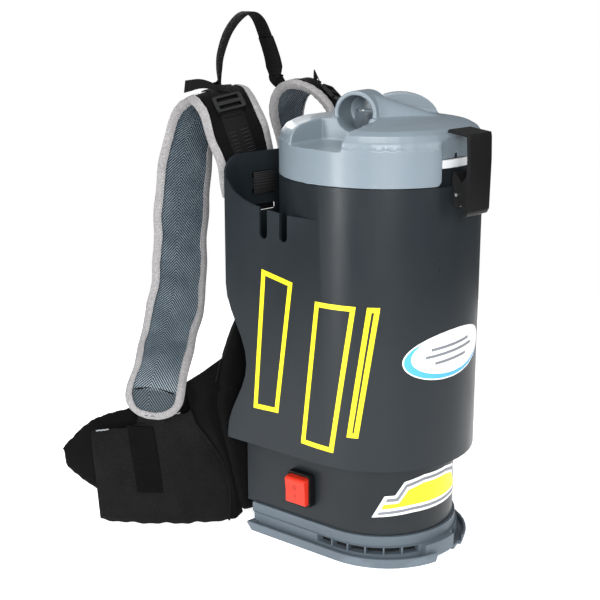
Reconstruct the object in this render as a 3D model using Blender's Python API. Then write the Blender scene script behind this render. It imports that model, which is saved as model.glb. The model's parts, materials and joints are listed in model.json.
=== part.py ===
"""Backpack vacuum cleaner, built as separate pieces in metres, +Z up.

The origin is on the floor under the tank's axis. The tank's front faces -Y,
and the wearer's side, with the harness, faces +Y.
"""
import math

import bmesh
import bpy
from mathutils import Matrix, Vector

# ---- driving dimensions ----
GAP = 0.0003                     # clearance between pieces that touch
WALL = 0.003                     # moulded wall
FLARE = math.radians(7.5)        # each side plate opens outward toward the back
ARC_STEP = math.radians(7.5)     # facet step of the large round walls

TANK_R = 0.130
TANK_BOTTOM = 0.138
NECK_R = 0.1264                  # the neck that the lid's skirt slides over
NECK_Z = 0.4965
TANK_TOP = 0.5175
FLANGE_TOP = 0.5280              # top of the filter's rim
PARTITION = (0.1355, 0.1415)     # slab between the motor and the dust tank
BACK_Y = 0.134                   # outer face of the back panel
PANEL_TOP = 0.519
PANEL_CORNER_R = 0.025
LEDGE_Z = 0.454                  # top of the side plates beside the tank

HOUSING = (0.0996, 0.107, 0.130)     # plate distance, front reach, back of the motor housing
HOUSING_BOTTOM = 0.039
BASE_TOP = HOUSING_BOTTOM - GAP

LID_R = 0.130
LID_BOTTOM = 0.497
LID_CREASE = 0.5375
LID_TOP = 0.570
LID_WALL = 0.0032
MOUTH = Vector((-0.040, 0.008, 0.5735))  # centre of the hose inlet's mouth
MOUTH_DIR = math.radians(203)        # the way the mouth faces, seen from above
MOUTH_R = 0.0285
BORE_R = 0.0228

LATCH_WIDTH = 0.040
LATCH_PIN = Vector((0.0, -0.1405, 0.488))

SWITCH_Y = 0.0331
SWITCH_Z = 0.083
GLAND_Z = 0.098
SWITCH_SIZE = (0.039, 0.0465)

FOOT_SPOTS = ((-0.075, -0.060), (0.075, -0.060), (-0.095, 0.090), (0.095, 0.090))

HANDLE_BASE = Vector((0.0, 0.250, 0.5950))
STRAP_THICK = 0.014
STRAP_WIDTH = 0.076


# ---------------------------------------------------------------- helpers
def clear_scene():
    for obj in list(bpy.data.objects):
        bpy.data.objects.remove(obj, do_unlink=True)


def material(name, colour, roughness=0.5, metallic=0.0):
    mat = bpy.data.materials.get(name)
    if mat is None:
        mat = bpy.data.materials.new(name)
        mat.use_nodes = True
        shader = mat.node_tree.nodes["Principled BSDF"]
        shader.inputs["Base Color"].default_value = (*colour, 1.0)
        shader.inputs["Roughness"].default_value = roughness
        shader.inputs["Metallic"].default_value = metallic
    return mat


def add_object(name, bm, mat=None, parent=None, smooth=35.0):
    bmesh.ops.recalc_face_normals(bm, faces=bm.faces)
    mesh = bpy.data.meshes.new(name)
    bm.to_mesh(mesh)
    bm.free()
    mesh.shade_smooth()
    mesh.set_sharp_from_angle(angle=math.radians(smooth))
    obj = bpy.data.objects.new(name, mesh)
    bpy.context.scene.collection.objects.link(obj)
    if mat is not None:
        mesh.materials.append(mat)
    if parent is not None:
        obj.parent = parent
    return obj


def empty(name, location, turn_z=0.0):
    obj = bpy.data.objects.new(name, None)
    obj.location = location
    obj.rotation_euler = (0.0, 0.0, turn_z)
    obj.hide_render = True
    bpy.context.scene.collection.objects.link(obj)
    return obj


def stack(loops):
    """A closed body skinned over loops of equal point count, lowest first."""
    bm = bmesh.new()
    rings = [[bm.verts.new(point) for point in loop] for loop in loops]
    count = len(rings[0])
    for low, high in zip(rings, rings[1:]):
        for i in range(count):
            j = (i + 1) % count
            bm.faces.new((low[i], low[j], high[j], high[i]))
    bm.faces.new(list(reversed(rings[0])))
    bm.faces.new(rings[-1])
    return bm


def prism(outline, low, high, axis="Z"):
    """An outline of (a, b) pairs extruded along one axis."""
    def place(a, b, c):
        if axis == "Z":
            return (a, b, c)
        if axis == "X":
            return (c, a, b)
        return (a, c, b)
    return stack([[place(a, b, low) for a, b in outline],
                  [place(a, b, high) for a, b in outline]])


def box(low, high):
    corners = [(low[0], low[1]), (high[0], low[1]), (high[0], high[1]), (low[0], high[1])]
    return prism(corners, low[2], high[2])


def circle(radius, centre=(0.0, 0.0), steps=48):
    return [(centre[0] + radius * math.cos(2 * math.pi * i / steps),
             centre[1] + radius * math.sin(2 * math.pi * i / steps)) for i in range(steps)]


def rounded_box(width, height, radius, centre=(0.0, 0.0), steps=4):
    points = []
    for corner, (sx, sy) in enumerate(((1, 1), (-1, 1), (-1, -1), (1, -1))):
        cx = centre[0] + sx * (width / 2 - radius)
        cy = centre[1] + sy * (height / 2 - radius)
        for k in range(steps + 1):
            a = math.pi / 2 * (corner + k / steps)
            points.append((cx + radius * math.cos(a), cy + radius * math.sin(a)))
    return points


def turned(profile, steps=48, centre=(0.0, 0.0)):
    """A closed (radius, z) outline turned about Z; it may touch the axis at its two ends."""
    bm = bmesh.new()
    on_axis = [r < 1e-7 for r, _ in profile]
    rings = []
    for (r, z), pole in zip(profile, on_axis):
        if pole:
            rings.append([bm.verts.new((centre[0], centre[1], z))])
        else:
            rings.append([bm.verts.new((centre[0] + r * math.cos(2 * math.pi * i / steps),
                                        centre[1] + r * math.sin(2 * math.pi * i / steps), z))
                          for i in range(steps)])
    pairs = list(zip(rings, rings[1:]))
    if not (on_axis[0] and on_axis[-1]):
        pairs.append((rings[-1], rings[0]))
    for low, high in pairs:
        for i in range(steps):
            j = (i + 1) % steps
            if len(low) == 1:
                bm.faces.new((low[0], high[j], high[i]))
            elif len(high) == 1:
                bm.faces.new((low[i], low[j], high[0]))
            else:
                bm.faces.new((low[i], low[j], high[j], high[i]))
    return bm


def ring_profile(inner, outer, low, high):
    return [(inner, low), (outer, low), (outer, high), (inner, high)]


def boolean(obj, other, operation):
    mod = obj.modifiers.new(operation.lower() + "_" + other.name, "BOOLEAN")
    mod.operation = operation
    mod.object = other
    mod.solver = "EXACT"


def guide(name, bm):
    obj = add_object(name, bm)
    obj.hide_render = True
    obj.display_type = "WIRE"
    return obj


def cut(obj, bm):
    tool = guide(obj.name + "_cut_" + str(len(obj.modifiers)), bm)
    boolean(obj, tool, "DIFFERENCE")
    return tool


def join(obj, bm):
    tool = guide(obj.name + "_add_" + str(len(obj.modifiers)), bm)
    boolean(obj, tool, "UNION")
    return tool


def cowl_outline(plate, front, back):
    """A round front with two flared side plates and a straight back.

    plate is the side plates' distance from the axis, front is the reach toward -Y,
    and back is the y of the straight back.
    """
    s, c = math.sin(FLARE), math.cos(FLARE)
    centre_y = (plate - front) / (1.0 - s)
    radius = centre_y + front
    half_back = (plate + s * back) / c
    count = round((math.pi - 2 * FLARE) / ARC_STEP)
    points = [(-half_back, back)]
    for i in range(count + 1):
        a = math.pi + FLARE + i * ARC_STEP
        points.append((radius * math.cos(a), centre_y + radius * math.sin(a)))
    points.append((half_back, back))
    return points


def cowl_loop(plate, front, back, z):
    return [(x, y, z) for x, y in cowl_outline(plate, front, back)]


def sweep_bar(path, across, width, thick):
    """A flat bar along a path of points; across gives each point's width direction."""
    loops = []
    for i, point in enumerate(path):
        before = path[max(i - 1, 0)]
        after = path[min(i + 1, len(path) - 1)]
        along = (after - before).normalized()
        side = (across[i] - along * across[i].dot(along)).normalized()
        normal = along.cross(side).normalized()
        w = width[i] / 2
        t = thick[i] / 2
        loops.append([point - side * w - normal * t * 0.6, point - side * w * 0.8 - normal * t,
                      point + side * w * 0.8 - normal * t, point + side * w - normal * t * 0.6,
                      point + side * w + normal * t * 0.6, point + side * w * 0.8 + normal * t,
                      point - side * w * 0.8 + normal * t, point - side * w + normal * t * 0.6])
    return stack(loops)


def smooth_path(points, per_span):
    """Points along a Catmull-Rom curve through the given points."""
    ends = [points[0] * 2 - points[1]] + points + [points[-1] * 2 - points[-2]]
    result = []
    for a, b, c, d in zip(ends, ends[1:], ends[2:], ends[3:]):
        for k in range(per_span):
            t = k / per_span
            result.append(0.5 * ((2 * b) + (c - a) * t + (2 * a - 5 * b + 4 * c - d) * t * t
                                 + (3 * b - a - 3 * c + d) * t ** 3))
    result.append(points[-1])
    return result


# ---------------------------------------------------------------- materials
def make_materials():
    return {
        "shell": material("shell", (0.030, 0.036, 0.042), 0.42),
        "grey": material("grey", (0.33, 0.38, 0.43), 0.45),
        "black": material("black", (0.012, 0.012, 0.013), 0.4),
        "red": material("red", (0.80, 0.045, 0.02), 0.35),
        "white": material("white", (0.85, 0.86, 0.87), 0.5),
        "rubber": material("rubber", (0.02, 0.02, 0.02), 0.8),
        "steel": material("steel", (0.62, 0.63, 0.65), 0.3, 1.0),
        "alloy": material("alloy", (0.72, 0.73, 0.75), 0.4, 1.0),
        "copper": material("copper", (0.75, 0.36, 0.18), 0.4, 1.0),
        "carbon": material("carbon", (0.03, 0.03, 0.03), 0.7),
        "filter": material("filter", (0.80, 0.80, 0.78), 0.9),
        "paper": material("paper", (0.70, 0.60, 0.45), 0.9),
        "foam": material("foam", (0.05, 0.05, 0.055), 0.95),
        "fabric": material("fabric", (0.015, 0.015, 0.016), 0.9),
        "mesh": material("mesh", (0.16, 0.22, 0.28), 0.8),
        "webbing": material("webbing", (0.012, 0.012, 0.012), 0.75),
    }


# ---------------------------------------------------------------- body shell
def back_profile(offset):
    """(y, z) points of the hollowed back edge, offset forward by a wall."""
    low, high, depth = 0.145, 0.352, 0.034
    points = []
    for i in range(13):
        z = low + (high - low) * i / 12
        y = BACK_Y - depth * math.sin(math.pi * i / 12) ** 2
        points.append((y - offset, z))
    return points


def back_cutter(offset):
    curve = back_profile(offset)
    outside = [(0.3, 0.7), (0.3, 0.0)]
    return prism([(BACK_Y - offset, 0.0)] + curve + [(BACK_Y - offset, 0.7)] + outside,
                 -0.2, 0.2, "X")


def scallop_profile():
    """(y, z) outline of everything in front of the back panel and above the side plates."""
    front = BACK_Y - WALL
    edge = [(front, 0.490), (0.119, 0.475), (0.104, 0.467), (0.085, 0.461),
            (0.063, 0.4575), (0.032, LEDGE_Z), (-0.2, LEDGE_Z)]
    return [(front, 0.7)] + edge + [(-0.2, 0.7)]


def notch_outline(y, width, top, bottom):
    r = width / 2
    arc = [(y + r * math.cos(math.pi + math.pi * i / 6),
            bottom + r + r * math.sin(math.pi + math.pi * i / 6)) for i in range(7)]
    return arc + [(y + r, top), (y - r, top)]


def panel_corner_cutter(side):
    """Rounds one top corner of the back panel, seen along Y."""
    half = 0.1496
    cx, cz = half - PANEL_CORNER_R, PANEL_TOP - PANEL_CORNER_R
    arc = [(side * (cx + PANEL_CORNER_R * math.cos(math.pi / 2 * i / 6)),
            cz + PANEL_CORNER_R * math.sin(math.pi / 2 * i / 6)) for i in range(7)]
    outline = arc + [(side * cx, 0.56), (side * 0.19, 0.56), (side * 0.19, cz)]
    return prism(outline, 0.10, 0.16, "Y")


def make_body_shell(mats):
    cowl = guide("cowl", prism(cowl_outline(TANK_R, TANK_R, BACK_Y), TANK_BOTTOM, PANEL_TOP))
    cut(cowl, back_cutter(0.0))
    inner = cut(cowl, prism(cowl_outline(TANK_R - WALL, TANK_R - WALL, BACK_Y - WALL),
                            PARTITION[1], 0.7))
    cut(inner, back_cutter(WALL))
    cut(cowl, prism(scallop_profile(), -0.2, 0.2, "X"))
    for y in (0.0375, 0.0695):
        cut(cowl, prism(notch_outline(y, 0.0125, 0.50, 0.4195), -0.2, 0.2, "X"))
    for side in (-1, 1):
        cut(cowl, panel_corner_cutter(side))
        for z in (0.445, 0.467, 0.489):
            cut(cowl, prism(rounded_box(0.042, 0.009, 0.003, (side * 0.083, z), 3), 0.12, 0.15, "Y"))
    # the tank and the motor housing are solid here, and hollowed last
    tank = turned([(0, TANK_BOTTOM), (TANK_R, TANK_BOTTOM), (TANK_R, NECK_Z), (NECK_R, NECK_Z),
                   (NECK_R, TANK_TOP), (0, TANK_TOP)])
    shell = add_object("body_shell", tank, mats["shell"])
    boolean(shell, cowl, "UNION")
    plate, front, back = HOUSING
    join(shell, prism(cowl_outline(plate, front, back), HOUSING_BOTTOM, TANK_BOTTOM + 0.001))
    neck_inner = NECK_R - 0.0026
    cut(shell, turned([(0, PARTITION[1]), (0.126, PARTITION[1]), (0.126, NECK_Z - 0.004),
                       (neck_inner, NECK_Z - 0.001), (neck_inner, 0.6), (0, 0.6)]))
    cut(shell, prism(cowl_outline(plate - WALL, front - WALL, back - WALL), 0.0, PARTITION[0]))
    cut(shell, prism(circle(0.036, steps=24), 0.12, 0.16))
    # opening for the switch in the near flat of the motor housing
    hole = cut(shell, box((-0.014, -0.02, -0.018), (0.014, 0.02, 0.018)))
    place_on_plate(hole, SWITCH_Y, SWITCH_Z)
    # round hole for the cord gland in the other flat
    gland = cut(shell, turned([(0, -0.02), (0.0082, -0.02), (0.0082, 0.02), (0, 0.02)], 16))
    gland.matrix_world = gland_matrix()
    return shell


def plate_point(y, side=-1):
    """A point on the motor housing's flared plate, at a given y."""
    plate = HOUSING[0]
    return Vector((side * (plate + math.sin(FLARE) * y) / math.cos(FLARE), y, 0.0))


def place_on_plate(obj, y, z):
    """Local -Y is the near plate's outward direction, and local Z is up."""
    point = plate_point(y)
    obj.location = (point.x, point.y, z)
    obj.rotation_euler = (0.0, 0.0, -(math.pi / 2 - FLARE))


def gland_matrix():
    """Local Z is the far plate's outward direction."""
    point = plate_point(0.085, 1)
    outward = Vector((math.cos(FLARE), -math.sin(FLARE), 0.0))
    turn = outward.to_track_quat("Z", "Y").to_matrix().to_4x4()
    return Matrix.Translation((point.x, point.y, GLAND_Z)) @ turn


# ---------------------------------------------------------------- base
BASE_BOTTOM = (0.1105, 0.1248, 0.1135)
BASE_LEDGE = (0.1145, 0.1285, 0.1175)
BASE_SLOT = (0.1050, 0.1150, 0.1135)
BASE_BAND = (0.1030, 0.1110, 0.1185)
BASE_CENTRE_Y = -0.0161          # centre of the ledge's round front
GUTTER_FLOOR = 0.0050


def make_base(mats):
    levels = [(BASE_BOTTOM, 0.0), (BASE_LEDGE, 0.0115), (BASE_LEDGE, 0.0140),
              (BASE_SLOT, 0.0150), (BASE_SLOT, 0.0250), (BASE_BAND, 0.0262), (BASE_BAND, BASE_TOP)]
    base = add_object("base_foot", stack([cowl_loop(*size, z) for size, z in levels]), mats["grey"])
    inset = 0.0075
    inner = [size - inset for size in BASE_BAND]
    cut(base, stack([cowl_loop(*inner, 0.004), cowl_loop(*inner, 0.06)]))
    # exhaust slots round the front, either side of the catch block
    first, last, count = math.radians(171), math.radians(252), 6
    step = (last - first) / count
    for mirror in (1, -1):
        for i in range(count):
            a0 = first + i * step
            a1 = a0 + step - math.radians(1.2)
            sector = [(mirror * r * math.cos(a), -0.012 + r * math.sin(a))
                      for r, a in ((0.080, a0), (0.16, a0), (0.16, a1), (0.080, a1))]
            cut(base, prism(sector, 0.0155, 0.0250))
    # gutter between the slotted wall and the lip
    gutter = cut(base, prism(cowl_outline(0.1115, 0.1255, 0.1060), GUTTER_FLOOR, 0.0150))
    cut(gutter, prism(cowl_outline(0.1050, 0.1150, 0.1200), 0.0, 0.0200))
    # catch block at the front, and the gap in the lip beside it
    cut(base, base_sector(262, 296, 0.1045, 0.1600, -0.0100, 0.0149))
    join(base, base_sector(254, 284, 0.0900, 0.1060, 0.0050, 0.0255))
    cut(base, base_sector(264, 286, 0.0980, 0.1600, -0.0100, 0.0060))
    return base


def base_sector(first, last, inner, outer, low, high):
    """A curved block about the base's round front, between two angles in degrees."""
    angles = [math.radians(first + (last - first) * i / 4) for i in range(5)]
    arc = [(outer * math.cos(a), BASE_CENTRE_Y + outer * math.sin(a)) for a in angles]
    back = [(inner * math.cos(a), BASE_CENTRE_Y + inner * math.sin(a)) for a in reversed(angles)]
    return prism(arc + back, low, high)


def make_base_parts(mats):
    foam = [size - 0.0085 for size in BASE_BAND]
    add_object("exhaust_filter", stack([cowl_loop(*foam, 0.0045), cowl_loop(*foam, 0.0140)]),
               mats["foam"])
    for number, (x, y) in enumerate(FOOT_SPOTS, 1):
        pad = turned([(0, 0.0), (0.008, 0.0), (0.009, 0.0009), (0.009, 0.0030), (0, 0.0030)], 16)
        add_object("foot_pad_%d" % number, pad, mats["rubber"]).location = (x, y, 0.0)


def cut_foot_seats(base):
    """Round pockets that hold the four rubber feet."""
    for x, y in FOOT_SPOTS:
        cut(base, prism(circle(0.0095, (x, y), 16), -0.01, 0.0033))


# ---------------------------------------------------------------- motor
def make_motor(mats):
    frame = turned([(0.0435, 0.034), (0.0435, 0.0955), (0.0620, 0.0955), (0.0620, 0.0975),
                    (0.0405, 0.0975), (0.0405, 0.037), (0.0113, 0.037), (0.0113, 0.034)], 32)
    add_object("motor_frame", frame, mats["alloy"])
    add_object("field_core", turned(ring_profile(0.0235, 0.0402, 0.048, 0.084), 32), mats["steel"])
    shroud = turned([(0.0660, 0.0978), (0.0660, 0.1290), (0.0220, 0.1290), (0.0220, 0.1270),
                     (0.0640, 0.1270), (0.0640, 0.0978)], 32)
    add_object("fan_shroud", shroud, mats["alloy"])
    add_object("diffuser_plate", turned(ring_profile(0.0120, 0.0637, 0.0990, 0.1010), 32), mats["alloy"])
    add_object("motor_seal", turned(ring_profile(0.0400, 0.0560, 0.1293, PARTITION[0] - GAP), 32),
               mats["rubber"])
    plate, front, back = HOUSING
    outline = cowl_outline(plate - WALL - GAP, front - WALL - GAP, back - WALL - GAP)
    support = add_object("motor_support", prism(outline, 0.0590, 0.0620), mats["black"])
    cut(support, prism(circle(0.0438, steps=32), 0.05, 0.09))
    for number in range(3):
        a = math.radians(90 + 120 * number)
        x, y = 0.0535 * math.cos(a), 0.0535 * math.sin(a)
        cut(support, prism(circle(0.0024, (x, y), 12), 0.05, 0.09))
        screw = turned([(0, 0.0560), (0.0040, 0.0560), (0.0040, 0.0587), (0.0020, 0.0587),
                        (0.0020, 0.0952), (0, 0.0952)], 12)
        add_object("motor_screw_%d" % (number + 1), screw, mats["steel"]).location = (x, y, 0)
    for side, name in ((-1, "left"), (1, "right")):
        x0, x1 = sorted((side * 0.0143, side * 0.0300))
        add_object("carbon_brush_" + name, box((x0, -0.003, 0.0400), (x1, 0.003, 0.0455)), mats["carbon"])
    add_object("bearing_lower", turned(ring_profile(0.0043, 0.0110, 0.0335, 0.0370), 20), mats["steel"])
    add_object("bearing_upper", turned(ring_profile(0.0043, 0.0117, 0.0985, 0.1015), 20), mats["steel"])


def make_rotor(mats):
    spin = empty("rotor_axis", (0, 0, 0))
    shaft = turned([(0, 0.031), (0.0040, 0.031), (0.0040, 0.1265), (0, 0.1265)], 16)
    add_object("armature_shaft", shaft, mats["steel"], spin)
    add_object("armature_core", turned(ring_profile(0.0043, 0.0225, 0.050, 0.082), 24),
               mats["copper"], spin)
    add_object("commutator", turned(ring_profile(0.0043, 0.0138, 0.0390, 0.0475), 20),
               mats["copper"], spin)
    disc = add_object("impeller", turned(ring_profile(0.0043, 0.0580, 0.1040, 0.1056), 32),
                      mats["alloy"], spin)
    join(disc, turned(ring_profile(0.0043, 0.0100, 0.1045, 0.1180), 32))
    for i in range(7):
        a = 2 * math.pi * i / 7
        inner = Vector((0.0090 * math.cos(a), 0.0090 * math.sin(a)))
        outer = Vector((0.0570 * math.cos(a - 0.45), 0.0570 * math.sin(a - 0.45)))
        across = (outer - inner).normalized().orthogonal() * 0.0006
        corners = [inner - across, outer - across, outer + across, inner + across]
        if sum(p.x * q.y - p.y * q.x for p, q in zip(corners, corners[1:] + corners[:1])) < 0:
            corners.reverse()
        join(disc, prism([tuple(p) for p in corners], 0.1050, 0.1160))


# ---------------------------------------------------------------- switch and gland
def make_switch(mats):
    mount = empty("switch_mount", (0, 0, 0))
    place_on_plate(mount, SWITCH_Y, SWITCH_Z)
    width, height = SWITCH_SIZE
    bezel = add_object("switch_bezel",
                       prism(rounded_box(width, height, 0.005), -0.0105, -GAP, "Y"),
                       mats["black"], mount)
    cut(bezel, prism(rounded_box(0.0338, 0.0412, 0.003), -0.02, -0.0030, "Y")).parent = mount
    cut(bezel, prism(rounded_box(0.0220, 0.0300, 0.002), -0.02, 0.02, "Y")).parent = mount
    add_object("switch_body", prism(rounded_box(0.0270, 0.0350, 0.002), 0.0035, 0.0230, "Y"),
               mats["black"], mount)
    pivot = empty("rocker_axis", (0, 0, 0))
    pivot.parent = mount
    pivot.location = (0.0, -0.0060, 0.0)
    pivot.rotation_euler = (math.radians(4.0), 0.0, 0.0)
    half = 0.0187
    rocker = [(0.0005, -half), (0.0005, half), (-0.0100, half + 0.0002), (-0.0132, half - 0.0022),
              (-0.0122, 0.0), (-0.0132, -half + 0.0022), (-0.0100, -half - 0.0002)]
    add_object("switch_rocker", prism(rocker, -0.0162, 0.0162, "X"), mats["red"], pivot)


def make_gland(mats):
    profile = [(0.0030, -0.0120), (0.0078, -0.0120), (0.0078, GAP), (0.0125, GAP), (0.0125, 0.0045),
               (0.0085, 0.0130), (0.0030, 0.0130)]
    gland = add_object("cord_gland", turned(profile, 16), mats["rubber"])
    gland.matrix_world = gland_matrix()


# ---------------------------------------------------------------- filter and bag
def make_filter(mats):
    add_object("filter_flange", turned(ring_profile(0.1040, 0.1258, TANK_TOP + GAP, FLANGE_TOP), 48),
               mats["white"])
    outer, inner = 0.1150, 0.1135
    cup = [(0, 0.1800), (outer - 0.006, 0.1800), (outer, 0.1860), (outer, TANK_TOP),
           (inner, TANK_TOP), (inner, 0.1870), (inner - 0.005, 0.1820), (0, 0.1820)]
    add_object("filter_sleeve", turned(cup, 48), mats["filter"])
    bag = [(0, 0.200), (0.085, 0.200), (0.102, 0.215), (0.102, 0.430), (0.080, 0.455), (0, 0.460)]
    add_object("dust_bag", turned(bag, 32), mats["paper"])


# ---------------------------------------------------------------- lid and latch
def lid_arch():
    """The arched notch over the latch, as an outline seen along Y, flared at the skirt."""
    half, top, corner, flare = 0.0290, 0.5560, 0.0130, 0.0090
    arc = [(half - corner + corner * math.cos(math.pi / 2 * i / 4),
            top - corner + corner * math.sin(math.pi / 2 * i / 4)) for i in range(5)]
    foot = [(half + flare - flare * math.cos(math.pi / 2 * i / 4),
             LID_BOTTOM + flare - flare * math.sin(math.pi / 2 * i / 4)) for i in range(4, -1, -1)]
    right = [(half + flare, 0.48)] + foot + arc
    return right + [(-x, z) for x, z in reversed(right)]


def lid_surface(offset):
    return [(LID_R - offset, LID_BOTTOM), (LID_R - offset, LID_CREASE - offset * 0.5),
            (0.1292 - offset, 0.5420 - offset), (0.1270 - offset, 0.5505 - offset),
            (0.1215 - offset, 0.5580 - offset), (0.1120, 0.5630 - offset),
            (0.0900, 0.5665 - offset), (0.0500, 0.5690 - offset), (0.0, LID_TOP - offset)]


def make_lid(mats):
    slide = empty("lid_axis", (0, 0, 0))
    lid = add_object("lid", turned([(0.0, LID_BOTTOM)] + lid_surface(0.0), 48), mats["grey"], slide)
    out = Vector((math.cos(MOUTH_DIR), math.sin(MOUTH_DIR), 0.0))
    # socket that the hose cuff plugs into, and the duct that runs on from it
    socket = join(lid, turned([(0, -0.052), (MOUTH_R - 0.002, -0.052), (MOUTH_R, 0.0), (0, 0.0)], 32))
    socket.matrix_world = Matrix.Translation(MOUTH) @ out.to_track_quat("Z", "Y").to_matrix().to_4x4()
    tip = Vector((0.062, -0.050, 0.5560))
    start = MOUTH - out * 0.022
    run = (tip - start)
    duct = join(lid, turned([(0, 0.0), (MOUTH_R - 0.001, 0.0), (0.0100, run.length), (0, run.length)], 32))
    duct.matrix_world = (Matrix.Translation(start)
                         @ run.normalized().to_track_quat("Z", "Y").to_matrix().to_4x4())
    # half-moon crest behind the duct
    crest_mid = Vector((0.068, 0.030, 0.0))
    crest_dir = math.atan2(-0.64, 0.82)
    moon = [(0.052 * math.cos(math.pi * i / 16), 0.5560 + 0.0365 * math.sin(math.pi * i / 16))
            for i in range(17)]
    crest = join(lid, prism(moon, -0.006, 0.006, "Y"))
    crest.location = crest_mid
    crest.rotation_euler = (0, 0, crest_dir)
    # recess with a flat floor in front of the mouth
    recess = [(-0.170, 0.034), (-0.170, -0.047), (-0.085, -0.044), (-0.036, -0.026),
              (-0.058, 0.034), (-0.062, 0.044)]
    cut(lid, prism(recess, 0.5395, 0.62))
    # hollow inside, with a flat floor under the recess and a well under the duct
    ceiling = [(0.0, 0.40), (LID_R - LID_WALL, 0.40), (LID_R - LID_WALL, 0.5345), (0.1215, 0.5362),
               (0.0, 0.5362)]
    cut(lid, turned(ceiling, 48))
    vault = turned([(0.0, 0.53), (0.1180, 0.53), (0.1180, 0.5510), (0.1080, 0.5590), (0.0880, 0.5630),
                    (0.0500, 0.5655), (0.0, 0.5665)], 48)
    vault_cutter = cut(lid, vault)
    cut(vault_cutter, prism([(-0.20, 0.048), (-0.20, -0.052), (-0.080, -0.050), (-0.020, -0.040),
                             (0.026, 0.002), (0.021, 0.062), (-0.030, 0.062)], 0.5362, 0.62))
    bore = cut(lid, turned([(0, -0.045), (BORE_R, -0.045), (BORE_R, 0.02), (0, 0.02)], 32))
    bore.matrix_world = socket.matrix_world.copy()
    well = MOUTH - out * 0.040
    cut(lid, prism(circle(0.018, (well.x, well.y), 24), 0.50, MOUTH.z))
    # collar round the seal, seen through the arch
    join(lid, turned(ring_profile(0.1225, 0.1250, FLANGE_TOP + 0.0004, 0.5370), 48))
    cut(lid, prism(lid_arch(), -0.2, -0.1235, "Y"))
    seal = turned(ring_profile(0.1045, 0.1222, FLANGE_TOP + GAP, 0.5340), 48)
    add_object("lid_seal", seal, mats["rubber"], slide)


def make_latch(mats):
    # bracket moulded to stand on the neck and the tank's front
    y_tank, y_neck = -0.1303, -0.1267
    outline = [(y_tank, 0.4720), (y_tank, NECK_Z + GAP), (y_neck, NECK_Z + GAP), (y_neck, 0.5125),
               (y_neck - 0.004, 0.5145), (-0.1480, 0.4960), (-0.1480, 0.4800), (-0.1400, 0.4720)]
    bracket = add_object("latch_bracket", prism(outline, -0.0125, 0.0125, "X"), mats["black"])
    cut(bracket, turned([(0, -0.05), (TANK_R + 0.0002, -0.05), (TANK_R + 0.0002, 0.6), (0, 0.6)]))
    add_neck = [(-0.1330, NECK_Z + GAP), (y_neck, NECK_Z + GAP), (y_neck, 0.5125), (-0.1330, 0.5125)]
    foot = join(bracket, prism(add_neck, -0.0125, 0.0125, "X"))
    cut(foot, turned([(0, 0.3), (NECK_R + GAP, 0.3), (NECK_R + GAP, 0.6), (0, 0.6)]))
    pin_hole = cut(bracket, turned([(0, -0.03), (0.0023, -0.03), (0.0023, 0.03), (0, 0.03)], 16))
    pin_hole.matrix_world = pin_matrix()
    pin = add_object("latch_pin", turned([(0, -0.0195), (0.0020, -0.0195), (0.0020, 0.0195),
                                          (0, 0.0195)], 12), mats["steel"])
    pin.matrix_world = pin_matrix()
    swing = empty("latch_axis", LATCH_PIN)
    half = LATCH_WIDTH / 2
    profile = [(-0.1590, 0.5620), (-0.1270, 0.5650), (-0.1254, 0.5630), (-0.1254, 0.5610),
               (-0.1545, 0.5580), (-0.1560, 0.5300), (-0.1555, 0.4700), (-0.1480, 0.4640),
               (-0.1490, 0.4610), (-0.1570, 0.4640), (-0.1602, 0.4700), (-0.1612, 0.5300),
               (-0.1602, 0.5570)]
    local = [(y - LATCH_PIN.y, z - LATCH_PIN.z) for y, z in profile]
    latch = add_object("latch", prism(local, -half, half, "X"), mats["black"], swing)
    # cheeks that carry the latch on its pin
    for side in (-1, 1):
        cheek = [(-0.1570, 0.4680), (-0.1365, 0.4840), (-0.1360, 0.4910), (-0.1400, 0.4945),
                 (-0.1570, 0.5150)]
        inner, outer = sorted((side * 0.0135, side * 0.0175))
        piece = join(latch, prism([(y - LATCH_PIN.y, z - LATCH_PIN.z) for y, z in cheek],
                                  inner, outer, "X"))
        piece.parent = swing
    bore = cut(latch, turned([(0, -0.03), (0.0023, -0.03), (0.0023, 0.03), (0, 0.03)], 16))
    bore.parent = swing
    bore.rotation_euler = (0, math.pi / 2, 0)


def pin_matrix():
    return Matrix.Translation(LATCH_PIN) @ Matrix.Rotation(math.pi / 2, 4, "Y")


# ---------------------------------------------------------------- harness
STRAP_ROUTE = ((0.083, 0.1560, 0.462), (0.088, 0.1600, 0.505), (0.095, 0.1710, 0.546),
               (0.090, 0.1970, 0.576), (0.082, 0.2300, 0.584), (0.084, 0.2590, 0.560),
               (0.098, 0.2710, 0.505), (0.115, 0.2660, 0.420), (0.133, 0.2540, 0.320),
               (0.164, 0.2360, 0.268), (0.200, 0.2080, 0.234), (0.225, 0.1925, 0.204),
               (0.234, 0.1880, 0.170))
STRAP_TURNS = (16.0, 20.0, 32.0, 24.0, 12.0, 12.0, 18.0, 24.0, 28.0, 36.0, 44.0, 48.0, 50.0)
STRAP_DROOPS = (0.0, 0.0, 6.0, 10.0, 10.0, 8.0, 4.0, 0.0, 0.0, 0.0, 0.0, 0.0, 0.0)
BUCKLE_STEP = 5                  # the stretch of the strap's path under the buckle


def strap_path(side):
    """The strap's centre line and, at each of its points, the direction across it."""
    path = smooth_path([Vector((side * x, y, z)) for x, y, z in STRAP_ROUTE], 2)
    angles = smooth_path([Vector((math.radians(turn), math.radians(droop), 0))
                          for turn, droop in zip(STRAP_TURNS, STRAP_DROOPS)], 2)
    return path, [Vector((math.cos(a.x), side * math.sin(a.x), -side * math.sin(a.y))) for a in angles]


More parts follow.
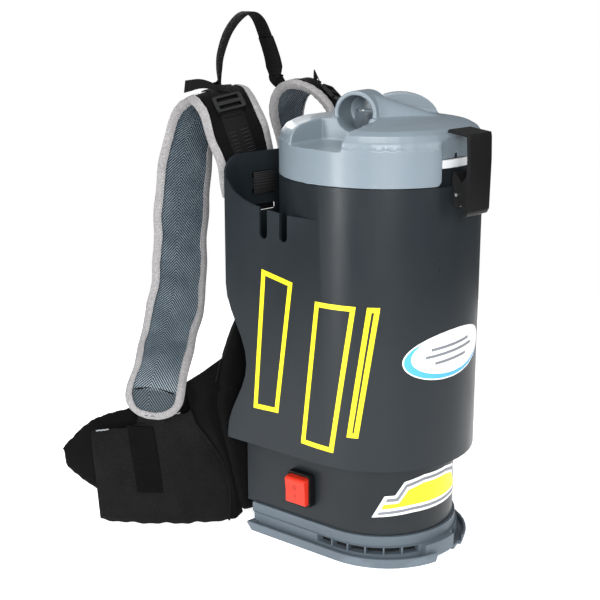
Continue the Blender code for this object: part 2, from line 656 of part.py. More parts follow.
def make_strap(side, name, mats):
    path, across = strap_path(side)
    count = len(path)
    width, thick = [], []
    for i in range(count):
        t = i / (count - 1)
        flare = 1.0 + 0.08 * min(1.0, max(0.0, (0.5 - t) / 0.15))
        width.append(STRAP_WIDTH * min(flare, 0.5 + 5.0 * (1.0 - t)))
        thick.append(STRAP_THICK * (0.75 if t > 0.93 else 1.0))
    add_object("shoulder_strap_" + name, sweep_bar(path, across, width, thick), mats["mesh"])


def make_anchor_web(side, name, mats):
    """Webbing that threads through the two upper slots of the back panel."""
    x0, x1 = sorted((side * 0.064, side * 0.102))
    front = BACK_Y - WALL - GAP
    web = add_object("anchor_web_" + name, box((x0, front - 0.0015, 0.4650), (x1, front, 0.4910)),
                     mats["webbing"])
    for z in (0.467, 0.489):
        join(web, box((x0, front - 0.0010, z - 0.002), (x1, BACK_Y + 0.0040, z + 0.002)))


def make_buckle(side, name, mats):
    """Ladder-lock lying on the top of the shoulder strap."""
    buckle = add_object("strap_buckle_" + name,
                        prism(rounded_box(0.040, 0.026, 0.004), -0.0025, 0.0025), mats["black"])
    for y in (-0.0062, 0.0062):
        cutter = cut(buckle, prism(rounded_box(0.030, 0.0065, 0.001, (0, y)), -0.01, 0.01))
        cutter.parent = buckle
    path, across = strap_path(side)
    low, high = path[BUCKLE_STEP], path[BUCKLE_STEP + 1]
    along = (high - low).normalized()
    sideways = across[BUCKLE_STEP] + across[BUCKLE_STEP + 1]
    sideways = (sideways - along * sideways.dot(along)).normalized()
    up = sideways.cross(along)
    frame = Matrix((sideways, along, up)).transposed().to_4x4()
    buckle.matrix_world = Matrix.Translation((low + high) / 2 + up * (STRAP_THICK / 2 + 0.0045)) @ frame


HANDLE_KNOTS = ((-0.056, 0.003), (-0.056, 0.020), (-0.053, 0.040), (-0.040, 0.068), (-0.020, 0.088),
                (-0.001, 0.0945), (0.016, 0.085), (0.030, 0.060), (0.041, 0.035), (0.046, 0.018),
                (0.048, 0.003))


def make_handle(mats):
    base = empty("handle_axis", HANDLE_BASE)
    path = smooth_path([Vector((x, 0.0, z)) for x, z in HANDLE_KNOTS], 3)
    across = [Vector((0.0, 1.0, 0.0))] * len(path)
    width = [min(0.024, 0.010 + 0.8 * (point.z - 0.003)) for point in path]
    handle = sweep_bar(path, across, width, [0.004] * len(path))
    add_object("carry_handle", handle, mats["webbing"], base)


def make_back_pads(mats):
    """Back pad on the lower half and a narrow yoke behind the panel's top."""
    levels = ((0.008, 0.118), (0.025, 0.122), (0.090, 0.137), (0.150, 0.156), (0.180, 0.162),
              (0.215, 0.157), (0.245, 0.148), (0.280, 0.131), (0.310, 0.114), (0.345, 0.094))
    loops = []
    for i, (z, half) in enumerate(levels):
        end = 0.6 if i in (0, len(levels) - 1) else 1.0
        near = BACK_Y + 0.004
        far = near + 0.038 * end
        loops.append([(-half, near, z), (half, near, z), (half + 0.004, near + 0.012, z),
                      (half - 0.006, far, z), (-half + 0.006, far, z), (-half - 0.004, near + 0.012, z)])
    add_object("back_pad", stack(loops), mats["fabric"])
    yoke = []
    for z, half, thick in ((0.352, 0.120, 0.008), (0.372, 0.142, 0.012), (0.425, 0.147, 0.012),
                           (0.4385, 0.143, 0.008)):
        near = BACK_Y + 0.003
        yoke.append([(-half, near, z), (half, near, z), (half, near + thick, z), (-half, near + thick, z)])
    add_object("yoke_pad", stack(yoke), mats["mesh"])


BELT_LOW = ((0.130, 0.160), (0.165, 0.184), (0.202, 0.214), (0.236, 0.252), (0.262, 0.296),
            (0.284, 0.337))
BELT_HIGH = ((0.184, 0.170), (0.206, 0.192), (0.228, 0.220), (0.250, 0.254), (0.268, 0.296),
             (0.288, 0.337))


def belt_loops(side, offset, thick, low_z, high_z, stop, round_from=1.0):
    """Upright band along the belt's plan route; offset moves it off the route's line."""
    edges = []
    for route in (BELT_LOW, BELT_HIGH):
        path = smooth_path([Vector((side * x, y, 0.0)) for x, y in route], 3)[:stop]
        line = []
        for i, p in enumerate(path):
            ahead = path[min(i + 1, len(path) - 1)] - path[max(i - 1, 0)]
            normal = Vector((ahead.y, -ahead.x, 0.0)).normalized() * side
            line.append((p + normal * (offset - thick / 2), p + normal * (offset + thick / 2)))
        edges.append(line)
    loops = []
    for i, (low, high) in enumerate(zip(*edges)):
        t = i / (stop - 1)
        z0, z1 = low_z[0] + (low_z[1] - low_z[0]) * t, high_z[0] + (high_z[1] - high_z[0]) * t
        shrink = 0.7 * max(0.0, (t - round_from) / (1.0001 - round_from)) ** 2
        middle = (z0 + z1) / 2
        z0, z1 = middle + (z0 - middle) * (1 - shrink), middle + (z1 - middle) * (1 - shrink)
        loops.append([(low[0].x, low[0].y, z0), (low[1].x, low[1].y, z0),
                      (high[1].x, high[1].y, z1), (high[0].x, high[0].y, z1)])
    return loops


def make_belt(side, name, mats):
    hinge = empty("belt_axis_" + name, (0, 0, 0))
    pad = belt_loops(side, -0.0120, 0.014, (0.012, 0.024), (0.215, 0.150), 16, 0.66)
    add_object("belt_pad_" + name, stack(pad), mats["fabric"], hinge)
    flap = belt_loops(side, 0.0095, 0.008, (0.003, 0.004), (0.180, 0.138), 12)
    add_object("belt_flap_" + name, stack(flap), mats["fabric"], hinge)


def main():
    clear_scene()
    mats = make_materials()
    make_body_shell(mats)
    base = make_base(mats)
    cut_foot_seats(base)
    make_base_parts(mats)
    make_motor(mats)
    make_rotor(mats)
    make_switch(mats)
    make_gland(mats)
    make_filter(mats)
    make_lid(mats)
    make_latch(mats)
    make_back_pads(mats)
    make_handle(mats)
    for side, name in ((-1, "left"), (1, "right")):
        make_strap(side, name, mats)
        make_anchor_web(side, name, mats)
        make_buckle(side, name, mats)
        make_belt(side, name, mats)


main()
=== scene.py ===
"""Looks of the backpack vacuum cleaner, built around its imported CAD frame."""
import json
import math

import bmesh
import bpy
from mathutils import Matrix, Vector, noise
from mathutils.bvhtree import BVHTree


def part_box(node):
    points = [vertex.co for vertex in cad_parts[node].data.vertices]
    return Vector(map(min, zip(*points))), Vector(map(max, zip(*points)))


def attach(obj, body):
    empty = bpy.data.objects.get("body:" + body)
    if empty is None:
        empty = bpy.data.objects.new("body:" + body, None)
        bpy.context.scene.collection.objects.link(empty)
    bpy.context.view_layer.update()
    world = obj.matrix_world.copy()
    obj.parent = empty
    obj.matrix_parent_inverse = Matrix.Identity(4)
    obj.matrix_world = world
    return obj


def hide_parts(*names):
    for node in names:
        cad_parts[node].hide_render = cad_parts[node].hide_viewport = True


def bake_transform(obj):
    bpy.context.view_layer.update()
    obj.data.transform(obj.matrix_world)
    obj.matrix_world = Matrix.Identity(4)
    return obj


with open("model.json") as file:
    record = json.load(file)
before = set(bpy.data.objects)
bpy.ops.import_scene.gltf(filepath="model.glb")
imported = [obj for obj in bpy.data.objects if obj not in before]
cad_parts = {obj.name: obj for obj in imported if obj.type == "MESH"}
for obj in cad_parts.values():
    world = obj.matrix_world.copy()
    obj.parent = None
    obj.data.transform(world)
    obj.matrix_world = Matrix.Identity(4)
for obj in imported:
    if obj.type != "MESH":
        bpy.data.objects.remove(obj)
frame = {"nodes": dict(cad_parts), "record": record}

NODES = frame["nodes"]
BODY_OF = {}
for body_name, members in frame["record"]["behaviour"]["bodies"].items():
    for member in members:
        BODY_OF[member] = body_name


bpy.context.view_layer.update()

# ---- sizes repeated from the part, in metres ----
FLARE = math.radians(7.5)
ARC_STEP = math.radians(7.5)
TANK = (0.130, 0.130)            # plate distance and front reach of the tank's cowl
HOUSING = (0.0996, 0.107)        # the same for the motor housing
HOUSING_R = 0.0985               # radius of the housing's round front
BACK_Y = 0.134
STRAP_WIDTH = 0.076
STRAP_THICK = 0.013
STRAP_LENGTH = 0.6481            # measured along the route below
STRAP_ROUTE = ((0.083, 0.1560, 0.462), (0.088, 0.1600, 0.505), (0.095, 0.1710, 0.546),
               (0.090, 0.1970, 0.576), (0.082, 0.2300, 0.584), (0.084, 0.2590, 0.560),
               (0.098, 0.2710, 0.505), (0.115, 0.2660, 0.420), (0.133, 0.2540, 0.320),
               (0.164, 0.2360, 0.268), (0.200, 0.2080, 0.234), (0.225, 0.1925, 0.204),
               (0.234, 0.1880, 0.170))
STRAP_TURNS = (16.0, 20.0, 32.0, 24.0, 12.0, 12.0, 18.0, 24.0, 28.0, 36.0, 44.0, 48.0, 50.0)
STRAP_DROOPS = (0.0, 0.0, 6.0, 10.0, 10.0, 8.0, 4.0, 0.0, 0.0, 0.0, 0.0, 0.0, 0.0)
BELT_LOW = ((0.130, 0.160), (0.165, 0.184), (0.202, 0.214), (0.236, 0.252), (0.262, 0.296),
            (0.284, 0.337))
BELT_HIGH = ((0.184, 0.170), (0.206, 0.192), (0.228, 0.220), (0.250, 0.254), (0.268, 0.296),
             (0.288, 0.337))
HANDLE_BASE = Vector((0.0, 0.250, 0.5950))
HANDLE_KNOTS = ((-0.056, 0.003), (-0.056, 0.020), (-0.053, 0.040), (-0.040, 0.068), (-0.020, 0.088),
                (-0.001, 0.0945), (0.016, 0.085), (0.030, 0.060), (0.041, 0.035), (0.046, 0.018),
                (0.048, 0.003))
HANDLE_TURNS = (60, 122)         # degrees the webbing is turned at its left and right ends
SIDES = ((-1, "left"), (1, "right"))


# ---------------------------------------------------------------- materials
class Graph:
    """A Principled material under construction."""

    def __init__(self, name):
        self.mat = bpy.data.materials.new(name)
        self.mat.use_nodes = True
        self.tree = self.mat.node_tree
        self.shader = self.tree.nodes["Principled BSDF"]
        self.place = self.node("ShaderNodeTexCoord").outputs["Object"]

    def node(self, kind, **settings):
        made = self.tree.nodes.new(kind)
        for key, value in settings.items():
            setattr(made, key, value)
        return made

    def feed(self, node, key, value):
        socket = node.inputs[key]
        if isinstance(value, bpy.types.NodeSocket):
            self.tree.links.new(value, socket)
        else:
            socket.default_value = value
        return node

    def noise(self, scale, detail=2.0, rough=0.5, stretch=None):
        made = self.node("ShaderNodeTexNoise")
        place = self.place
        if stretch:
            mapping = self.node("ShaderNodeMapping")
            self.feed(mapping, "Vector", place)
            mapping.inputs["Scale"].default_value = stretch
            place = mapping.outputs["Vector"]
        self.feed(made, "Vector", place)
        self.feed(made, "Scale", scale)
        self.feed(made, "Detail", detail)
        self.feed(made, "Roughness", rough)
        return made.outputs["Fac"]

    def math(self, operation, a, b=0.0):
        made = self.node("ShaderNodeMath", operation=operation)
        self.feed(made, 0, a)
        self.feed(made, 1, b)
        return made.outputs[0]

    def add(self, a, b):
        return self.math("ADD", a, b)

    def times(self, a, b):
        return self.math("MULTIPLY", a, b)

    def remap(self, value, low, high, to_low=0.0, to_high=1.0):
        made = self.node("ShaderNodeMapRange")
        for key, number in (("Value", value), ("From Min", low), ("From Max", high),
                            ("To Min", to_low), ("To Max", to_high)):
            self.feed(made, key, number)
        return made.outputs[0]

    def mix(self, factor, a, b):
        made = self.node("ShaderNodeMix", data_type="RGBA")
        self.feed(made, 0, factor)
        for index, colour in ((6, a), (7, b)):
            is_socket = isinstance(colour, bpy.types.NodeSocket)
            self.feed(made, index, colour if is_socket else (*colour, 1.0))
        return made.outputs[2]

    def bump(self, height, distance, strength, under=None):
        made = self.node("ShaderNodeBump")
        self.feed(made, "Height", height)
        self.feed(made, "Distance", distance)
        self.feed(made, "Strength", strength)
        if under is not None:
            self.feed(made, "Normal", under)
        return made.outputs["Normal"]

    def split(self, place=None):
        made = self.node("ShaderNodeSeparateXYZ")
        self.feed(made, 0, place or self.place)
        return made.outputs

    def ripple(self, value, pitch):
        """A wave from 0 to 1 with the given pitch in metres."""
        turned = self.math("SINE", self.add(self.times(value, 2 * math.pi / pitch), 0.0))
        return self.add(self.times(turned, 0.5), 0.5)

    def uv(self):
        made = self.node("ShaderNodeUVMap", uv_map="cloth")
        return made.outputs["UV"]

    def finish(self, colour, rough, normal=None, **constants):
        """Sets the shader's sockets; the constants are named as its sockets are, with _ for a space."""
        self.feed(self.shader, "Base Color", colour)
        self.feed(self.shader, "Roughness", rough)
        if normal is not None:
            self.feed(self.shader, "Normal", normal)
        for key, value in constants.items():
            self.shader.inputs[key.replace("_", " ")].default_value = value
        return self.mat


def scaled(colour, k):
    return tuple(min(1.0, c * k) for c in colour)


def plastic(name, colour, rough, grain=0.00005, edge_wear_and_highlight=1.5, spread=0.10, gloss=0.30):
    """Moulded plastic: fine spark grain, slow tone drift, handling marks, and edges paler from wear and
    from a painted highlight.
    """
    g = Graph(name)
    drift = g.noise(7.0, 3.0)
    tone = g.mix(g.remap(drift, 0.3, 0.7), scaled(colour, 1 - spread), scaled(colour, 1 + spread))
    # edges paler by pointiness: partly wear, partly a painted highlight along every edge
    edge = g.node("ShaderNodeNewGeometry").outputs["Pointiness"]
    tone = g.mix(g.remap(edge, 0.52, 0.60, 0.0, 0.55), tone, scaled(colour, edge_wear_and_highlight))
    smear = g.noise(22.0, 4.0, 0.6, (1.0, 1.0, 0.35))
    fine = g.noise(1500.0, 2.0, 0.6)
    scuff = g.noise(160.0, 3.0, 0.7, (1.0, 1.0, 6.0))
    roughness = g.add(g.remap(smear, 0.3, 0.7, rough - 0.06, rough + 0.06),
                      g.remap(scuff, 0.62, 0.80, 0.0, 0.12))
    normal = g.bump(fine, grain, 0.6)
    return g.finish(tone, roughness, g.bump(drift, 0.0004, 0.25, normal), Specular_IOR_Level=gloss)


def woven(name, colour, pitch, depth, rough=0.85, sheen=0.25, fleck=0.0, fuzz=1.0):
    """Woven cloth on upright faces, from the piece's own place, so that it needs no UV map."""
    g = Graph(name)
    x, y, z = g.split()
    across = g.add(g.times(x, 0.78), g.times(y, 0.62))
    warp = g.ripple(across, pitch)
    weft = g.ripple(z, pitch)
    over = g.math("ABSOLUTE", g.math("SUBTRACT", warp, weft))
    cloud = g.noise(18.0, 4.0, 0.6)
    lint = g.noise(900.0, 2.0, 0.7)
    tone = g.mix(g.remap(cloud, 0.3, 0.7), scaled(colour, 0.75), scaled(colour, 1.35))
    tone = g.mix(g.times(over, 0.35), tone, scaled(colour, 1.8))
    if fleck:
        tone = g.mix(g.remap(lint, 0.66, 0.74, 0.0, fleck), tone, (0.16, 0.16, 0.165))
    height = g.add(over, g.times(lint, 0.6 * fuzz))
    normal = g.bump(height, depth, 0.8)
    wrinkle = g.noise(26.0, 3.0, 0.55)
    return g.finish(tone, g.remap(lint, 0.2, 0.8, rough - 0.08, rough + 0.08),
                    g.bump(wrinkle, 0.004, 0.25, normal), Sheen_Weight=sheen, Sheen_Roughness=0.5,
                    Specular_IOR_Level=0.04)


def spacer_mesh(name):
    """Blue-grey lining whose threads run in chevrons along the strap, with a painted highlight band before
    the tongue and a painted shadow along the fold.
    """
    g = Graph(name)
    u, v, _ = g.split(g.uv())
    fold = g.math("ABSOLUTE", g.math("SUBTRACT", u, -0.006))
    along = g.add(v, g.times(fold, -1.15))
    counter = g.add(v, g.times(fold, 1.15))
    thread = g.ripple(along, 0.0042)
    hole = g.ripple(counter, 0.0036)
    light = g.times(g.remap(thread, 0.30, 0.85), g.remap(hole, 0.1, 0.9, 0.45, 1.0))
    cloud = g.noise(34.0, 3.0)
    shade = g.mix(g.remap(cloud, 0.3, 0.7), (0.115, 0.155, 0.190), (0.225, 0.285, 0.330))
    # painted highlight: a paler band across the lining a little before the tongue
    lit = g.remap(v, STRAP_LENGTH - 0.085, STRAP_LENGTH - 0.045, 0.0, 0.55)
    shade = g.mix(lit, shade, (0.46, 0.54, 0.60))
    # painted shadow: a dark band where the fold crosses the lining
    painted_fold_shadow = g.remap(v, STRAP_LENGTH - 0.040, STRAP_LENGTH - 0.036, 0.0, 0.72)
    shade = g.mix(painted_fold_shadow, shade, (0.030, 0.040, 0.050))
    tone = g.mix(light, (0.009, 0.015, 0.021), shade)
    height = g.add(light, g.times(g.noise(1400.0), 0.2))
    return g.finish(tone, g.remap(light, 0.0, 1.0, 0.9, 0.6), g.bump(height, 0.0009, 0.9),
                    Specular_IOR_Level=0.3)


def binding_tape(name):
    """Heather grey tape, marled light and dark, with a stitched line."""
    g = Graph(name)
    u, v, _ = g.split(g.uv())
    marl = g.noise(420.0, 4.0, 0.75)
    slow = g.noise(60.0, 3.0)
    tone = g.mix(g.remap(marl, 0.36, 0.64), (0.185, 0.180, 0.183), (0.345, 0.336, 0.340))
    tone = g.mix(g.remap(slow, 0.35, 0.7, 0.0, 0.45), tone, (0.215, 0.209, 0.213))
    from_line = g.math("ABSOLUTE", g.math("SUBTRACT", u, 0.15))
    stitch = g.times(g.math("GREATER_THAN", g.ripple(v, 0.0036), 0.35),
                     g.math("LESS_THAN", from_line, 0.045))
    tone = g.mix(g.times(stitch, 0.55), tone, (0.20, 0.20, 0.205))
    ribs = g.ripple(v, 0.0011)
    height = g.add(g.times(ribs, 0.4), g.add(marl, g.times(stitch, -1.4)))
    return g.finish(tone, 0.88, g.bump(height, 0.0004, 0.7), Sheen_Weight=0.1, Sheen_Roughness=0.5,
                    Specular_IOR_Level=0.2)


def webbing(name, colour, pitch=0.0021, depth=0.0005):
    """Flat webbing with ribs across its length."""
    g = Graph(name)
    u, v, _ = g.split(g.uv())
    ribs = g.ripple(v, pitch)
    cords = g.ripple(u, 0.0024)
    lint = g.noise(700.0, 3.0, 0.7)
    body = g.add(g.times(ribs, 0.7), g.times(cords, 0.3))
    tone = g.mix(body, scaled(colour, 0.55), scaled(colour, 1.5))
    tone = g.mix(g.remap(lint, 0.55, 0.75, 0.0, 0.35), tone, scaled(colour, 2.6))
    height = g.add(body, g.times(lint, 0.3))
    return g.finish(tone, g.remap(lint, 0.2, 0.8, 0.65, 0.85), g.bump(height, depth, 0.9),
                    Specular_IOR_Level=0.10)


def felt(name, colour, scale, depth, rough=0.95):
    """Foam, filter cloth or paper: a random fibrous or porous face."""
    g = Graph(name)
    pores = g.noise(scale, 5.0, 0.75)
    slow = g.noise(14.0, 3.0)
    tone = g.mix(g.remap(pores, 0.35, 0.65), scaled(colour, 0.72), scaled(colour, 1.15))
    tone = g.mix(g.remap(slow, 0.3, 0.75, 0.0, 0.3), tone, scaled(colour, 0.7))
    return g.finish(tone, rough, g.bump(pores, depth, 0.8))


def metal(name, colour, rough, stretch=(1.0, 1.0, 12.0), rings=0.0):
    """Machined metal with fine turning or brushing marks."""
    g = Graph(name)
    marks = g.noise(220.0, 3.0, 0.7, stretch)
    stain = g.noise(35.0, 3.0)
    tone = g.mix(g.remap(stain, 0.35, 0.7, 0.0, 0.35), colour, scaled(colour, 0.62))
    height = marks
    if rings:
        z = g.split()[2]
        height = g.add(marks, g.times(g.ripple(z, rings), 2.0))
    return g.finish(tone, g.remap(marks, 0.3, 0.7, rough - 0.1, rough + 0.1), g.bump(height, 0.00012, 0.7),
                    Metallic=1.0)


def printed(name, colour):
    """Vinyl decal: satin ink with faint speckle and scuffs."""
    g = Graph(name)
    speck = g.noise(500.0, 3.0, 0.7)
    scuff = g.noise(60.0, 4.0, 0.7, (1.0, 1.0, 5.0))
    tone = g.mix(g.remap(speck, 0.3, 0.7, 0.0, 0.25), colour, scaled(colour, 0.86))
    tone = g.mix(g.remap(scuff, 0.68, 0.82, 0.0, 0.3), tone, scaled(colour, 0.7))
    return g.finish(tone, g.remap(scuff, 0.3, 0.8, 0.34, 0.55), g.bump(speck, 0.00003, 0.5))


M = {
    "shell": plastic("shell_plastic", (0.0094, 0.0125, 0.0150), 0.33, 0.00006, 2.6, gloss=0.25),
    "grey": plastic("grey_plastic", (0.168, 0.208, 0.240), 0.35, 0.00005, 1.35, 0.05, gloss=0.50),
    # painted shade: the base is moulded in the lid's grey, darkened here to about half
    "base": plastic("base_plastic_painted_shade", (0.082, 0.104, 0.124), 0.46, 0.00005, 1.6, 0.05),
    "black": plastic("black_plastic", (0.0034, 0.0035, 0.0038), 0.38, 0.00004, 3.0, gloss=0.20),
    "buckle": plastic("buckle_plastic", (0.0030, 0.0032, 0.0035), 0.46, 0.00003, 2.2, gloss=0.16),
    "red": plastic("red_rubber", (0.70, 0.032, 0.014), 0.46, 0.00012, 1.15),
    "white": plastic("white_plastic", (0.78, 0.80, 0.82), 0.45, 0.00004, 1.05, 0.04),
    "rubber": plastic("rubber", (0.012, 0.012, 0.013), 0.72, 0.0002, 1.5),
    "steel": metal("steel", (0.60, 0.61, 0.63), 0.32),
    "laminated": metal("laminated_steel", (0.42, 0.43, 0.45), 0.40, rings=0.0010),
    "alloy": metal("alloy", (0.70, 0.71, 0.73), 0.38, (6.0, 6.0, 1.0)),
    "copper": metal("copper", (0.78, 0.36, 0.17), 0.35, rings=0.0009),
    "carbon": felt("carbon", (0.025, 0.025, 0.027), 600.0, 0.0001, 0.6),
    "filter": felt("filter_cloth", (0.78, 0.78, 0.76), 700.0, 0.0004),
    "paper": felt("bag_paper", (0.62, 0.52, 0.38), 260.0, 0.0003, 0.85),
    "foam": felt("foam", (0.045, 0.045, 0.050), 900.0, 0.0012),
    "cloth": woven("black_cloth", (0.0030, 0.0030, 0.0033), 0.0016, 0.00030, 0.9, 0.015),
    "flap": woven("rough_cloth", (0.0058, 0.0056, 0.0056), 0.0019, 0.00055, 0.92, 0.02, 0.35, 1.6),
    "hook": woven("hook_tape", (0.0024, 0.0024, 0.0026), 0.0021, 0.0009, 0.95, 0.01, 0.06, 2.5),
    "mesh": spacer_mesh("lining_mesh"),
    "pad_mesh": woven("pad_mesh", (0.042, 0.050, 0.058), 0.0026, 0.0009, 0.88, 0.12, 0.5),
    "tape": binding_tape("binding_tape"),
    "web": webbing("black_webbing", (0.0040, 0.0040, 0.0044), 0.0025, 0.0006),
    "web_grey": webbing("grey_webbing", (0.016, 0.016, 0.017), 0.0032, 0.0009),
    "rung": woven("stitch_rung", (0.020, 0.020, 0.021), 0.0008, 0.0003, 0.7, 0.04),
    "thread": woven("thread", (0.006, 0.006, 0.0065), 0.0008, 0.0003, 0.85, 0.02),
    "pale": felt("pale_edging", (0.30, 0.31, 0.32), 500.0, 0.0004),
    "yellow": printed("yellow_ink", (0.91, 0.78, 0.003)),
    "ink_white": printed("white_ink", (0.82, 0.83, 0.84)),
    "ink_grey": printed("grey_ink", (0.17, 0.18, 0.20)),
    "ink_dark": printed("dark_red_ink", (0.10, 0.008, 0.006)),
    "ink_blue": printed("blue_ink", (0.065, 0.38, 0.76)),
}


# ---------------------------------------------------------------- mesh helpers
def add_piece(name, bm, mat, body, smooth=40.0, uvs=None):
    """Makes the bmesh a piece that rides on a body; uvs gives each vertex's place on the cloth."""
    if uvs is not None:
        layer = bm.loops.layers.uv.new("cloth")
        for face in bm.faces:
            for loop in face.loops:
                loop[layer].uv = uvs[loop.vert.index]
    mesh = bpy.data.meshes.new(name)
    bm.to_mesh(mesh)
    bm.free()
    mesh.shade_smooth()
    mesh.set_sharp_from_angle(angle=math.radians(smooth))
    obj = bpy.data.objects.new(name, mesh)
    bpy.context.scene.collection.objects.link(obj)
    mesh.materials.append(M[mat])
    if body:
        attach(obj, body)
    return obj


def apply_modifiers(obj):
    graph = bpy.context.evaluated_depsgraph_get()
    graph.update()
    made = bpy.data.meshes.new_from_object(obj.evaluated_get(graph), depsgraph=graph)
    old = obj.data
    obj.modifiers.clear()
    obj.data = made
    bpy.data.meshes.remove(old)


def skin(rows):
    """A closed surface over rows of equally many points, each row a loop, with both ends capped."""
    bm = bmesh.new()
    rings = [[bm.verts.new(point) for point in row] for row in rows]
    count = len(rings[0])
    for a, b in zip(rings, rings[1:]):
        for i in range(count):
            j = (i + 1) % count
            bm.faces.new((a[i], a[j], b[j], b[i]))
    bm.faces.new(list(reversed(rings[0])))
    bm.faces.new(rings[-1])
    bm.verts.index_update()
    bmesh.ops.recalc_face_normals(bm, faces=bm.faces)
    return bm


def smooth_path(points, per_span):
    """Points along a Catmull-Rom curve through the given points."""
    ends = [points[0] * 2 - points[1]] + points + [points[-1] * 2 - points[-2]]
    result = []
    for a, b, c, d in zip(ends, ends[1:], ends[2:], ends[3:]):
        for k in range(per_span):
            t = k / per_span
            result.append(0.5 * ((2 * b) + (c - a) * t + (2 * a - 5 * b + 4 * c - d) * t * t
                                 + (3 * b - a - 3 * c + d) * t ** 3))
    result.append(points[-1])
    return result


def tube(path, radius, sides=8):
    """A round bar along a path, closed at both ends."""
    rows = []
    side = None
    for i, point in enumerate(path):
        along = (path[min(i + 1, len(path) - 1)] - path[max(i - 1, 0)]).normalized()
        if side is None:
            side = along.orthogonal().normalized()
        side = (side - along * side.dot(along)).normalized()
        up = along.cross(side)
        r = radius * (0.55 if i in (0, len(path) - 1) else 1.0)
        rows.append([point + side * r * math.cos(2 * math.pi * k / sides)
                     + up * r * math.sin(2 * math.pi * k / sides) for k in range(sides)])
    return skin(rows)


def merged(parts):
    bm = bmesh.new()
    for part in parts:
        mesh = bpy.data.meshes.new("merge")
        part.to_mesh(mesh)
        part.free()
        bm.from_mesh(mesh)
        bpy.data.meshes.remove(mesh)
    bm.verts.index_update()
    return bm


def flat_section(middle, wide, flat):
    """The four corners of a flat strip's section, from its half width and half thickness."""
    return [middle - wide - flat, middle + wide - flat, middle + wide + flat, middle - wide + flat]


def flat_places(half, along):
    """The places on the cloth of the corners that flat_section gives."""
    return [(-half, along), (half, along), (half, along), (-half, along)]


# ---------------------------------------------------------------- hard parts
FACET_DEPTH = 0.0012             # how far inside the skirt's circle its facets can lie
SKIRT_INSET = 0.0001


def rocker_marks():
    """The usual ring above a bar of a rocker switch, laid on its cap."""
    mesh = bpy.data.objects["switch_rocker_finish"].data
    faces = [tuple(p.vertices) for p in mesh.polygons]
    tree = BVHTree.FromPolygons([v.co for v in mesh.vertices], faces)
    low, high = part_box("switch_rocker")
    middle = (Vector(low) + Vector(high)) / 2
    normal = Vector((-math.cos(FLARE), -math.sin(FLARE), 0.0))
    aside = Vector((-math.sin(FLARE), math.cos(FLARE), 0.0))
    parts = []
    bar = [(-0.0006, -0.0085), (0.0006, -0.0085), (0.0006, -0.0040), (-0.0006, -0.0040)]
    steps = 28
    ring_out = ellipse((0.0, 0.0060), 0.0033, 0.0033, 0.0, steps)
    ring_in = ellipse((0.0, 0.0060), 0.0024, 0.0024, 0.0, steps)
    shapes = [bar]
    for k in range(steps):
        j = (k + 1) % steps
        shapes.append([ring_out[k], ring_out[j], ring_in[j], ring_in[k]])
    for shape in shapes:
        tops, feet = [], []
        for a, z in shape:
            start = middle + aside * a + Vector((0, 0, z)) + normal * 0.03
            hit = tree.ray_cast(start, -normal)[0]
            tops.append(hit + normal * 0.0004)
            feet.append(hit - normal * 0.0001)
        parts.append(skin([feet, tops]))
    add_piece("rocker_marks", merged(parts), "ink_dark", "rocker", 40.0)


def refine(node, mat, width):
    """A copy of a CAD node with rounded edges and the finish given; it stands for that node."""
    bm = bmesh.new()
    bm.from_mesh(NODES[node].data)
    bmesh.ops.remove_doubles(bm, verts=bm.verts, dist=0.00001)
    bmesh.ops.dissolve_limit(bm, angle_limit=math.radians(0.8), verts=bm.verts, edges=bm.edges)
    sharp = [e for e in bm.edges if len(e.link_faces) == 2 and e.calc_face_angle(0.0) > math.radians(32)]
    bmesh.ops.bevel(bm, geom=sharp, offset=width, segments=2, profile=0.5, affect="EDGES",
                    clamp_overlap=True)
    bmesh.ops.remove_doubles(bm, verts=bm.verts, dist=0.000004)
    obj = add_piece(node + "_finish", bm, mat, BODY_OF[node], 35.0)
    mod = obj.modifiers.new("normals", "WEIGHTED_NORMAL")
    mod.keep_sharp = True
    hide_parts(node)


def soften(node, mat, voxel, rounds, keep):
    """A copy of a CAD node whose edges and joints are blended like one moulding."""
    bm = bmesh.new()
    bm.from_mesh(NODES[node].data)
    bmesh.ops.remove_doubles(bm, verts=bm.verts, dist=0.00001)
    obj = add_piece(node + "_finish", bm, mat, BODY_OF[node], 60.0)
    mod = obj.modifiers.new("remesh", "REMESH")
    mod.mode = "VOXEL"
    mod.voxel_size = voxel
    mod.use_smooth_shade = True
    mod = obj.modifiers.new("smooth", "SMOOTH")
    mod.factor = 0.5
    mod.iterations = rounds
    mod = obj.modifiers.new("lighter", "DECIMATE")
    mod.ratio = keep
    apply_modifiers(obj)
    # the skirt's flat facets are brought out to the full circle
    low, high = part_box(node)
    radius = (high[0] - low[0]) / 2
    for v in obj.data.vertices:
        r = math.hypot(v.co.x, v.co.y)
        if 0.0 < radius - r < FACET_DEPTH:
            v.co.x *= (radius - SKIRT_INSET) / r
            v.co.y *= (radius - SKIRT_INSET) / r
    obj.data.shade_smooth()
    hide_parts(node)


